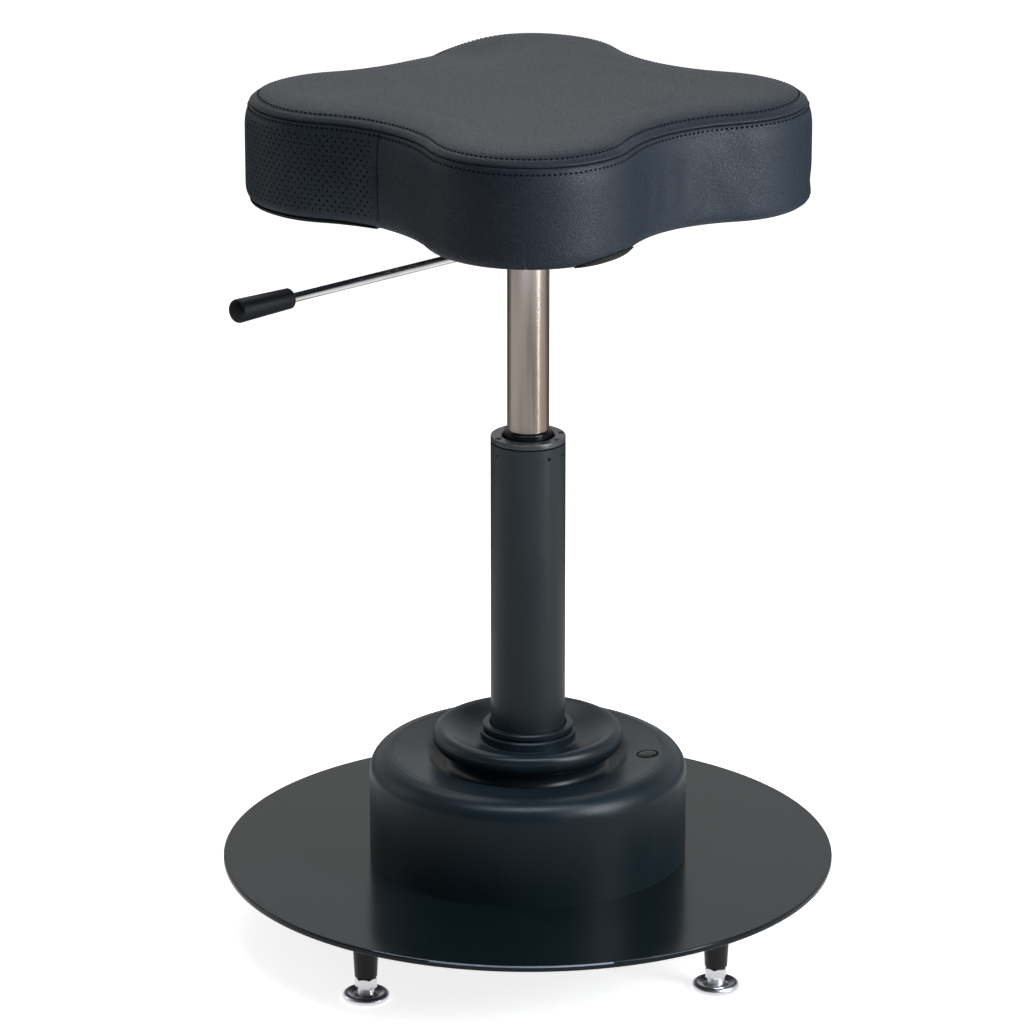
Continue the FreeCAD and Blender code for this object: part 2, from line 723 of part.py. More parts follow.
def gas_spring():
    """Piston rod with its clip and piston, cylinder with its rod guide, and the valve pin."""
    groove = rod_stub_radius - clip_groove
    clip_bottom = clip_top - clip_thickness
    piston_top = piston_bottom + piston_height
    rod = turned(
        (0, rod_bottom),
        (rod_stub_radius, rod_bottom),
        (rod_stub_radius, clip_bottom),
        (groove, clip_bottom),
        (groove, clip_top),
        (rod_stub_radius, clip_top),
        (rod_stub_radius, race_upper_top),
        (rod_radius, race_upper_top),
        (rod_radius, piston_bottom),
        (rod_stub_radius, piston_bottom),
        (rod_stub_radius, piston_top),
        (rod_radius, piston_top),
        (rod_radius, piston_top + piston_head),
        (0, piston_top + piston_head),
    )
    opening = box((0, clip_radius + overcut), (-groove, groove), (clip_bottom - overcut, clip_top + overcut))
    clip = ring(groove + seat_fit, clip_radius, clip_bottom, clip_top).cut(opening)

    wall_fit = cylinder_bore - running_fit
    seal_z = piston_bottom + 0.5 * (piston_height - piston_seal_height)
    seal_root = wall_fit - piston_seal_depth
    piston = ring(rod_stub_radius + seat_fit, wall_fit, piston_bottom, piston_top)
    piston = piston.cut(ring(seal_root, wall_fit + overcut, seal_z, seal_z + piston_seal_height))
    seal = ring(seal_root + seat_fit, wall_fit, seal_z, seal_z + piston_seal_height)

    tip_radius = cylinder_radius - taper_drop
    valve_bore = valve_radius + running_fit
    barrel = turned(
        (cylinder_bore, cylinder_bottom),
        (cylinder_radius, cylinder_bottom),
        (cylinder_radius, taper_bottom),
        (tip_radius, cylinder_top),
        (valve_bore, cylinder_top),
        (valve_bore, cylinder_top - cylinder_cap),
        (cylinder_bore, cylinder_top - cylinder_cap),
    )
    guide_top = cylinder_bottom + rod_guide_length
    guide = ring(rod_radius + running_fit, cylinder_bore - seat_fit, cylinder_bottom, guide_top)
    valve = turned(
        (0, valve_top - valve_length),
        (valve_radius, valve_top - valve_length),
        (valve_radius, valve_top - valve_dome),
        bow((valve_radius - valve_dome, valve_top - valve_dome), valve_dome, 0, 90),
        (0, valve_top),
    )
    return {
        "piston_rod": rod,
        "rod_clip": clip,
        "piston": piston,
        "piston_seal": seal,
        "gas_cylinder": barrel,
        "rod_guide": guide,
        "release_pin": valve,
    }


def lever():
    """Rocker on its pin, chrome rod and grip, drawn along +X and turned to the lever's azimuth."""
    tongue_bottom = valve_top + slack
    tongue_top = tongue_bottom + cam_tongue
    cam_bottom = lever_z - lever_radius - cam_floor
    rear_top = cylinder_top + cam_rear_top
    outline = [
        (cam_outer, cam_bottom),
        (cam_outer, rear_top),
        (cam_rise, rear_top),
        (lever_pivot, tongue_top),
        (-cam_tongue_reach, tongue_top),
        (-cam_tongue_reach, tongue_bottom),
        (cam_inner, tongue_bottom),
        (cam_inner, cam_bottom),
        (cam_outer, cam_bottom),
    ]
    side = -0.5 * cam_width
    corners = [FreeCAD.Vector(u, side, z) for u, z in outline]
    cam = Part.Face(Part.makePolygon(corners)).extrude(NORTH * cam_width)
    rod_start = cam_outer - lever_depth
    rod_root = EAST * cam_outer + UP * lever_z
    rod_hole = cross_bar(lever_radius + seat_fit, rod_start, cam_outer + overcut, lever_z, EAST)
    rod_hole = rod_hole.rotated(rod_root, NORTH, -lever_rise)
    pin_centre = EAST * lever_pivot + UP * lever_pivot_z
    hole_start = pin_centre - NORTH * cam_width
    pin_hole = Part.makeCylinder(lever_pin_radius + running_fit, 2 * cam_width, hole_start, NORTH)
    cam = cam.cut([rod_hole, pin_hole])

    pin_half = bracket_outer + slack
    pin = Part.makeCylinder(lever_pin_radius, 2 * pin_half, pin_centre - NORTH * pin_half, NORTH)
    for way in (NORTH, NORTH * -1):
        head = Part.makeCylinder(lever_pin_head_radius, lever_pin_head, pin_centre + way * pin_half, way)
        pin = pin.fuse(head)
    rod = cross_bar(lever_radius, rod_start + slack, lever_end, lever_z, EAST)
    rod = rod.rotated(rod_root, NORTH, -lever_rise)

    round_at = (grip_large_radius - grip_round, grip_end - grip_round)
    bore = lever_radius + seat_fit
    grip = turned(
        (bore, grip_start),
        (grip_small_radius, grip_start),
        (grip_large_radius, grip_end - grip_round),
        bow(round_at, grip_round, 0, 90),
        (0, grip_end),
        (0, lever_end),
        (bore, lever_end),
    )
    grip = grip.rotated(ORIGIN, NORTH, 90).translated(UP * lever_z)
    grip = grip.rotated(rod_root, NORTH, -lever_rise)
    return {
        "lever_cam": to_lever(cam),
        "lever_pin": to_lever(pin),
        "lever_rod": to_lever(rod),
        "lever_grip": to_lever(grip),
    }


def at_plate_bolts(shape):
    """Copies of a shape at the bolts of the mounting plate, which stand on the axes of the lobes."""
    return round_pattern(shape, plate_bolt_count, math.sqrt(2) * plate_bolt_offset, lever_azimuth + 45)


def seat_bracket():
    """Mounting plate with its bolts, and the lever housing with the conical socket."""
    half = 0.5 * plate_side
    plate = box((-half, half), (-half, half), (plate_bottom, plate_top))
    upright = [e for e in plate.Edges if abs(e.tangentAt(e.FirstParameter).z) > 0.9]
    plate = plate.makeFillet(plate_corner, upright)
    hole = cylinder(plate_bolt_radius + hole_slack, plate_bottom - overcut, plate_top + overcut)
    plate = to_lever(plate).cut(at_plate_bolts(hole))
    washer_bottom = plate_bottom - plate_washer_thickness
    washer = ring(plate_bolt_radius + hole_slack, plate_washer_radius, washer_bottom, plate_bottom)
    bolt = cylinder(plate_bolt_radius, washer_bottom, board_top).fuse(
        hexagon(plate_bolt_flats, washer_bottom - plate_bolt_head, washer_bottom)
    )
    tee_radius = plate_bolt_radius + tee_wall
    tee = ring(plate_bolt_radius + seat_fit, tee_radius, board_bottom + slack, board_top).fuse(
        ring(plate_bolt_radius + seat_fit, tee_flange_radius, board_top, board_top + tee_flange_thickness)
    ).removeSplitter()

    bottom = plate_bottom - bracket_height
    outside = box((-bracket_back, bracket_front), (-bracket_outer, bracket_outer), (bottom, plate_bottom))
    inside = box((bracket_wall - bracket_back, bracket_front + overcut), (-bracket_inner, bracket_inner),
                 (bottom + bracket_wall, plate_bottom + overcut))
    front_gap = box((bracket_floor_front, bracket_front + overcut), (-bracket_inner, bracket_inner),
                    (bottom - overcut, bottom + bracket_wall + overcut))
    socket_hole = cylinder(taper_tube_radius + seat_fit, bottom - overcut, bottom + bracket_wall + overcut)
    pin_centre = EAST * lever_pivot + UP * lever_pivot_z
    reach = bracket_outer + overcut
    pin_hole = Part.makeCylinder(lever_pin_radius + seat_fit, 2 * reach, pin_centre - NORTH * reach, NORTH)
    bracket = outside.cut([inside, front_gap, socket_hole, pin_hole])

    tip_radius = cylinder_radius - taper_drop * taper_tube_length / taper_length
    socket = turned(
        (cylinder_radius + seat_fit, taper_bottom),
        (taper_tube_radius, taper_bottom),
        (taper_tube_radius, taper_bottom + taper_tube_length),
        (tip_radius + seat_fit, taper_bottom + taper_tube_length),
    )
    return {
        "seat_plate": plate,
        "plate_bolts": Part.makeCompound(at_plate_bolts(bolt)),
        "plate_washers": Part.makeCompound(at_plate_bolts(washer)),
        "tee_nuts": Part.makeCompound(at_plate_bolts(tee)),
        "bracket_box": to_lever(bracket),
        "taper_tube": socket,
    }


def clover(inset, z, share=1.0):
    """Closed clover outline at a height, moved inwards by an inset, then scaled by a share."""
    lobe_centre = lobe_reach - lobe_radius
    half_chord = lobe_centre / math.sqrt(2)
    notch_centre = (half_chord ** 2 + 2 * half_chord * notch_inward - notch_inward ** 2) / (2 * notch_inward)
    notch_reach = half_chord + lobe_radius - notch_inward - inset
    lobe = lobe_radius - inset
    swing = math.atan2(notch_centre / math.sqrt(2), notch_centre / math.sqrt(2) - lobe_centre)

    def point(radius, angle, out=0.0, azimuth=0.0):
        x = out * math.cos(azimuth) + radius * math.cos(angle)
        y = out * math.sin(azimuth) + radius * math.sin(angle)
        return FreeCAD.Vector(share * x, share * y, z)

    edges = []
    for k in range(4):
        azimuth = math.radians(90 * k)
        start = point(lobe, azimuth - swing, lobe_centre, azimuth)
        middle = point(lobe, azimuth, lobe_centre, azimuth)
        end = point(lobe, azimuth + swing, lobe_centre, azimuth)
        following = math.radians(90 * (k + 1))
        landing = point(lobe, following - swing, lobe_centre, following)
        edges.append(Part.Arc(start, middle, end).toShape())
        edges.append(Part.Arc(end, point(notch_reach, azimuth + math.radians(45)), landing).toShape())
    return Part.Wire(edges)


def clover_wires(sections):
    """Clover outlines given as (inset, height)."""
    return [clover(*section) for section in sections]


def clover_sheet(inset, bottom, top):
    """Flat clover with straight sides."""
    return Part.Face(clover(inset, bottom)).extrude(UP * (top - bottom))


def flat_ring(outer, inner):
    """Flat face between two outlines at one height."""
    return Part.makeFace([outer, inner], "Part::FaceMakerBullseye")


def sewn(faces):
    """Closed solid from faces that share their edges."""
    skin = Part.makeCompound(faces)
    skin.sewShape()
    solid = Part.Solid(Part.Shell(skin.Faces))
    if solid.Volume < 0:
        solid.reverse()
    return solid


def smooth_side(wires):
    """Smooth faces through outlines."""
    return Part.makeLoft(wires, False, False).Faces


def straight_side(lower, upper):
    """Straight faces from one outline to the next."""
    return Part.makeLoft([lower, upper], False, True).Faces


def edge_sections(skin, gap=0.0):
    """Rounded lower edge of the cushion, a skin's thickness and a gap inside its outer face."""
    sections = []
    for angle in (0, 30, 60, 90):
        turn = math.radians(angle)
        inset = band_round * (1 - math.sin(turn))
        rise = skin + (band_round - skin) * (1 - math.cos(turn))
        sections.append((inset + skin + gap, cushion_bottom + rise))
    return sections


def side_sections(skin, gap=0.0):
    """Side of the cushion from its widest line, drawn in towards the seam."""
    shoulder_z = seam_z - band_shoulder
    sections = [(skin + gap, 0.5 * (cushion_bottom + band_round + shoulder_z))]
    for share in (0.15, 0.45, 0.75, 1.0):
        sections.append((seam_inset * share ** 2 + skin + gap, shoulder_z + band_shoulder * share))
    return sections


def top_sections(skin, gap=0.0):
    """Top of the cushion from its rolled edge above the seam to the crown."""
    lip_z = seam_z + seam_gap + lip_height - skin - gap
    lip_inset = seam_inset - lip_bulge + skin + gap
    sections = []
    for share in (0.0, 0.15, 0.35, 0.6, 1.0):
        sections.append((lip_inset + top_inward * share, lip_z + top_rise * (1 - (1 - share) ** 2)))
    return sections


def crown_faces(rim):
    """Low crown that closes the top of the cushion from its last section."""
    inset, rim_z = rim
    lower = clover(inset, rim_z)
    faces = []
    for share, rise in crown_rings:
        upper = clover(inset, rim_z + rise * top_crown, share)
        faces += straight_side(lower, upper)
        lower = upper
    return faces + [Part.Face(lower)]


def cover_band(skin):
    """Side of the cover all the way round, turned under the board's edge."""
    hem_inset = band_round + cover_turn_under
    hem_low = clover(hem_inset, cushion_bottom)
    hem_high = clover(hem_inset, board_bottom)
    faces = straight_side(hem_low, hem_high)
    tops = []
    for depth, hem in ((0.0, hem_low), (skin, hem_high)):
        edge = clover_wires(edge_sections(depth))
        side = clover_wires(side_sections(depth))
        faces += smooth_side(edge) + smooth_side(edge[-1:] + side) + [flat_ring(edge[0], hem)]
        tops.append(side[-1])
    return sewn(faces + [flat_ring(*tops)])


def cover_top(skin):
    """Top of the cover with its rolled edge."""
    crease_z = seam_z + seam_gap
    faces = []
    creases = []
    for depth in (0.0, skin):
        crease = clover(seam_inset + depth, crease_z)
        sections = top_sections(depth)
        wires = clover_wires(sections)
        faces += straight_side(crease, wires[0]) + smooth_side(wires) + crown_faces(sections[-1])
        creases.append(crease)
    return sewn(faces + [flat_ring(*creases)])


def foam_block(skin):
    """Foam that fills the cover above the board."""
    side = clover_wires([(skin + slack, board_top)] + side_sections(skin, slack))
    sections = top_sections(skin, slack)
    top = side[-1:] + clover_wires(sections[1:])
    faces = smooth_side(side) + smooth_side(top)
    return sewn(faces + [Part.Face(side[0])] + crown_faces(sections[-1]))


def quarter_wedge(low, high):
    """Quarter of space about the perforated panel's lobe, between two heights."""
    reach = 2 * lobe_reach
    corners = [FreeCAD.Vector(x, y, low) for x, y in ((0, 0), (reach, -reach), (reach, reach))]
    prism = Part.Face(Part.makePolygon(corners + corners[:1])).extrude(UP * (high - low))
    return prism.rotated(ORIGIN, UP, vent_panel_azimuth)


def cushion():
    """Foam on its board, and the cover's top, plain band and perforated panel."""
    skin = cover_thickness
    barrel_radius = plate_bolt_radius + tee_wall + seat_fit
    barrel_hole = cylinder(barrel_radius, board_bottom - overcut, board_top + overcut)
    board_wires = clover_wires(edge_sections(skin, slack) + [(skin + slack, board_top)])
    board = Part.makeLoft(board_wires, True, False).cut(at_plate_bolts(barrel_hole))
    recess_top = board_top + tee_flange_thickness + slack
    recess = cylinder(tee_flange_radius + slack, board_top - overcut, recess_top)
    foam = foam_block(skin).cut(at_plate_bolts(recess))

    band = cover_band(skin)
    wedge = quarter_wedge(cushion_bottom - overcut, seam_z + overcut)
    hole = cylinder(plate_bolt_radius + hole_slack, plate_top - overcut, board_bottom + overcut)
    dust = clover_sheet(band_round + cover_turn_under + dust_gap, plate_top, board_bottom)
    return {
        "foam_cushion": foam,
        "seat_board": board,
        "side_band": band.cut(wedge),
        "vent_panel": band.common(wedge),
        "top_panel": cover_top(skin),
        "dust_cover": dust.cut(at_plate_bolts(hole)),
    }


def main():
    """Build every piece and write one file per node."""
    os.makedirs("parts", exist_ok=True)
    nodes = {}
    lower = (levelling_feet, base, boot, tilt_joint, column)
    upper = (gas_spring, lever, seat_bracket, cushion)
    for assembly in lower + upper:
        nodes.update(assembly())
    for name, shape in nodes.items():
        shape.exportStep(f"parts/{name}.step")
        print(f"{name}: {len(shape.Solids)} solids, {shape.Volume / 1000:.2f} cm3, valid {shape.isValid()}")


main()
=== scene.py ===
"""Looks of a tilting technician stool: sewn clover seat, gas lift, rubber bellows, drum and levelling feet.

Metres, +Z up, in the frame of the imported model: the column's axis is Z and the floor is at zero. The back
is +Y, and the lever stands out between the front lobe (-Y) and the left lobe (-X) of the seat.
"""

import json
import logging
import math
from collections.abc import Callable
from dataclasses import dataclass, field
from enum import Enum

import bmesh
import bpy
from mathutils import Euler, Matrix, Vector, noise
from mathutils.bvhtree import BVHTree

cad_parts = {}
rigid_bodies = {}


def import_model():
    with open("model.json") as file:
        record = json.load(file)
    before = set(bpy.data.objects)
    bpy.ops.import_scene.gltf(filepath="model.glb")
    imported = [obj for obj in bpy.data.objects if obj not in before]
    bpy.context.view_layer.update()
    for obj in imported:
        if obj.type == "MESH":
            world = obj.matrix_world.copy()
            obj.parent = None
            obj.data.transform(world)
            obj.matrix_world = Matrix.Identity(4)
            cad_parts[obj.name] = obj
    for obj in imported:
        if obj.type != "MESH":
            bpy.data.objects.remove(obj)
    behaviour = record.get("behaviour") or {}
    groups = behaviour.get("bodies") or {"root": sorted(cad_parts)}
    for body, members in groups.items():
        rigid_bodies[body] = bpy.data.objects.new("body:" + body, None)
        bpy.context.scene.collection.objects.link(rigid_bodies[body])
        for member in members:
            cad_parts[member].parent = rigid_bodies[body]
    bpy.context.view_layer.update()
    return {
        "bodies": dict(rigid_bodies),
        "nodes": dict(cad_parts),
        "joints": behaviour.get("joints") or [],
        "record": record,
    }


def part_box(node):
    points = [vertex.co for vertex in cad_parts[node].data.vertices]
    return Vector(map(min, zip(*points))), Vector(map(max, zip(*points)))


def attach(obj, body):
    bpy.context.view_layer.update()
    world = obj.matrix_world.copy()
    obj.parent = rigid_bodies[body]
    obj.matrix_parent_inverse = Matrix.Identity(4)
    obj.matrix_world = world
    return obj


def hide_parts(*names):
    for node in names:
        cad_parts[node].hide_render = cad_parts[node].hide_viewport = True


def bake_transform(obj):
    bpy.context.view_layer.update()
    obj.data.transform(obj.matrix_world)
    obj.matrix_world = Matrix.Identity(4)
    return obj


LOG = logging.getLogger("stool")
Colour = tuple[float, float, float]
Point = tuple[float, float]
Socket = bpy.types.NodeSocket
Piece = bpy.types.Object


class Web:
    """A shader node tree that is being wired."""

    def __init__(self, tree: bpy.types.NodeTree) -> None:
        """Keep the tree and empty it."""
        self.tree = tree
        tree.nodes.clear()

    def add(self, kind: str, inputs: dict | None = None, **options: object) -> bpy.types.Node:
        """Add a node and wire its inputs.

        Args:
            kind: the node's type in Blender.
            inputs: values or output sockets, by the name or number of the input.
            options: settings of the node itself.

        Returns:
            The new node.
        """
        node = self.tree.nodes.new(kind)
        for name, value in options.items():
            setattr(node, name, value)
        for name, value in (inputs or {}).items():
            if isinstance(value, Socket):
                self.tree.links.new(value, node.inputs[name])
            else:
                node.inputs[name].default_value = value
        return node

    def math(self, operation: str, *terms: object) -> Socket:
        """Result of a Math node on values or sockets."""
        return self.add("ShaderNodeMath", dict(enumerate(terms)), operation=operation).outputs[0]

    def stretched(self, place: Socket, scale: Colour, turn: float = 0.0) -> Socket:
        """Place on the surface, turned about Z and then scaled along each axis."""
        turned = self.add("ShaderNodeMapping", {"Vector": place, "Rotation": (0.0, 0.0, turn)})
        return self.add("ShaderNodeMapping", {"Vector": turned.outputs[0], "Scale": scale}).outputs[0]

    def cloud(self, place: Socket, scale: float, detail: float = 2.0, rough: float = 0.5) -> Socket:
        """Value of a noise texture."""
        settings = {"Vector": place, "Scale": scale, "Detail": detail, "Roughness": rough}
        return self.add("ShaderNodeTexNoise", settings).outputs[0]

    def ramp(self, value: Socket, low: float, high: float,
             to_low: float = 0.0, to_high: float = 1.0) -> Socket:
        """Value eased from one range to another."""
        settings = {"Value": value, "From Min": low, "From Max": high, "To Min": to_low, "To Max": to_high}
        return self.add("ShaderNodeMapRange", settings, interpolation_type="SMOOTHSTEP").outputs[0]

    def mix(self, share: Socket, low: Colour, high: Colour) -> Socket:
        """Colour between two colours."""
        inputs = {0: share, 6: (*low, 1.0), 7: (*high, 1.0)}
        return self.add("ShaderNodeMix", inputs, data_type="RGBA").outputs[2]


class Texture(Enum):
    """Surface textures, each one a shader node group."""

    GRAIN = "pressed_grain"
    PEEL = "paint_peel"
    DRAWN = "drawn_lines"
    TURNED = "turned_lines"
    CAST = "cast_skin"
    PLY = "plywood_layers"
    FELT = "felted_fibre"


class TextureGroups:
    """Shader node groups that put out a fine height and a tone of colour, both from 0 to 1."""

    def __init__(self) -> None:
        """Start with no group made."""
        self.made: dict[Texture, bpy.types.NodeTree] = {}
        self.recipes = {
            Texture.GRAIN: self.grain,
            Texture.PEEL: self.peel,
            Texture.DRAWN: self.drawn,
            Texture.TURNED: self.turned,
            Texture.CAST: self.cast,
            Texture.PLY: self.ply,
            Texture.FELT: self.felt,
        }

    def get(self, texture: Texture) -> bpy.types.NodeTree:
        """Group of a texture, made the first time it is asked for.

        Args:
            texture: which texture.

        Returns:
            The node group, with inputs Vector and Scale and outputs Height and Tone.
        """
        if texture not in self.made:
            tree = bpy.data.node_groups.new(texture.value, "ShaderNodeTree")
            tree.interface.new_socket("Vector", in_out="INPUT", socket_type="NodeSocketVector")
            tree.interface.new_socket("Scale", in_out="INPUT", socket_type="NodeSocketFloat")
            tree.interface.new_socket("Height", in_out="OUTPUT", socket_type="NodeSocketFloat")
            tree.interface.new_socket("Tone", in_out="OUTPUT", socket_type="NodeSocketFloat")
            web = Web(tree)
            start = web.add("NodeGroupInput")
            scaled = {0: start.outputs["Vector"], "Scale": start.outputs["Scale"]}
            place = web.add("ShaderNodeVectorMath", scaled, operation="SCALE").outputs[0]
            height, tone = self.recipes[texture](web, place)
            web.add("NodeGroupOutput", {"Height": height, "Tone": tone})
            self.made[texture] = tree
        return self.made[texture]

    @staticmethod
    def grain(web: Web, place: Socket) -> tuple[Socket, Socket]:
        """Pebbles with fine valleys between them, as pressed into vinyl."""
        wobble = web.add("ShaderNodeTexNoise", {"Vector": place, "Scale": 0.7}).outputs["Color"]
        bent = web.add("ShaderNodeVectorMath", {0: place, 1: wobble}, operation="ADD").outputs[0]
        cells = web.add("ShaderNodeTexVoronoi", {"Vector": bent, "Scale": 1.0}, feature="DISTANCE_TO_EDGE")
        pebbles = web.ramp(cells.outputs["Distance"], 0.02, 0.25)
        fine = web.cloud(place, 3.0)
        height = web.math("MULTIPLY_ADD", fine, 0.3, web.math("MULTIPLY", pebbles, 0.7))
        return height, web.ramp(height, 0.25, 0.9)

    @staticmethod
    def peel(web: Web, place: Socket) -> tuple[Socket, Socket]:
        """Soft waviness of sprayed paint or of a moulded skin, with a fine stipple."""
        waves = web.cloud(place, 1.0, 3.0, 0.6)
        return waves, web.ramp(web.cloud(place, 0.02, 5.0, 0.62), 0.3, 0.72)

    @staticmethod
    def drawn(web: Web, place: Socket) -> tuple[Socket, Socket]:
        """Long lines along Z, as on a drawn tube."""
        lines = web.cloud(web.stretched(place, (1.0, 1.0, 0.012)), 1.0, 3.0, 0.6)
        broad = web.cloud(web.stretched(place, (0.07, 0.07, 0.004)), 1.0, 3.0)
        return lines, web.ramp(broad, 0.3, 0.7)

    @staticmethod
    def turned(web: Web, place: Socket) -> tuple[Socket, Socket]:
        """Fine rings about Z, as from grinding or turning."""
        rings = web.cloud(web.stretched(place, (0.02, 0.02, 1.0)), 1.0, 3.0, 0.6)
        smudge = web.cloud(web.stretched(place, (0.03, 0.03, 0.012)), 1.0, 4.0, 0.6)
        return rings, web.ramp(smudge, 0.3, 0.7)

    @staticmethod
    def cast(web: Web, place: Socket) -> tuple[Socket, Socket]:
        """Sand-cast skin."""
        return web.cloud(place, 1.0, 5.0, 0.7), web.ramp(web.cloud(place, 0.12, 4.0), 0.35, 0.68)

    @staticmethod
    def ply(web: Web, place: Socket) -> tuple[Socket, Socket]:
        """Thin layers along Z with wood grain along X."""
        layers = web.add("ShaderNodeTexWave", {"Vector": place, "Scale": 0.5}, bands_direction="Z").outputs[1]
        wood = web.cloud(web.stretched(place, (0.05, 1.0, 1.0)), 1.0, 4.0, 0.6)
        return wood, web.math("MULTIPLY", layers, wood)

    @staticmethod
    def felt(web: Web, place: Socket) -> tuple[Socket, Socket]:
        """Fibres that cross each other, as in a non-woven cloth."""
        one = web.cloud(web.stretched(place, (0.12, 1.0, 1.0), 0.6), 1.0, 2.0)
        two = web.cloud(web.stretched(place, (0.12, 1.0, 1.0), -0.8), 1.0, 2.0)
        return web.math("MAXIMUM", one, two), web.ramp(web.math("MULTIPLY", one, two), 0.15, 0.4)


@dataclass(frozen=True)
class Finish:
    """A surface finish: two tones of a colour, a range of roughness, and a fine relief."""

    name: str
    colour: Colour
    tint: Colour
    rough: tuple[float, float]
    texture: Texture
    cell: float
    relief: float
    metallic: float = 0.0
    specular: float = 0.5
    sheen: float = 0.0

    def material(self, groups: TextureGroups) -> bpy.types.Material:
        """Material of this finish.

        Args:
            groups: the shared texture groups.

        Returns:
            A new material on Object coordinates.
        """
        material = bpy.data.materials.new(self.name)
        material.use_nodes = True
        web = Web(material.node_tree)
        place = web.add("ShaderNodeTexCoord").outputs["Object"]
        inputs = {"Vector": place, "Scale": 1.0 / self.cell}
        texture = web.add("ShaderNodeGroup", inputs, node_tree=groups.get(self.texture))
        tone = texture.outputs["Tone"]
        bump = web.add("ShaderNodeBump", {"Height": texture.outputs["Height"], "Distance": self.relief})
        colour = web.mix(tone, self.colour, self.tint)
        shader = web.add("ShaderNodeBsdfPrincipled", {
            "Base Color": colour,
            "Roughness": web.ramp(tone, 0.0, 1.0, *self.rough),
            "Normal": bump.outputs[0],
            "Metallic": self.metallic,
            "Specular IOR Level": self.specular,
            "Sheen Weight": self.sheen,
        })
        web.add("ShaderNodeOutputMaterial", {"Surface": shader.outputs[0]})
        return material


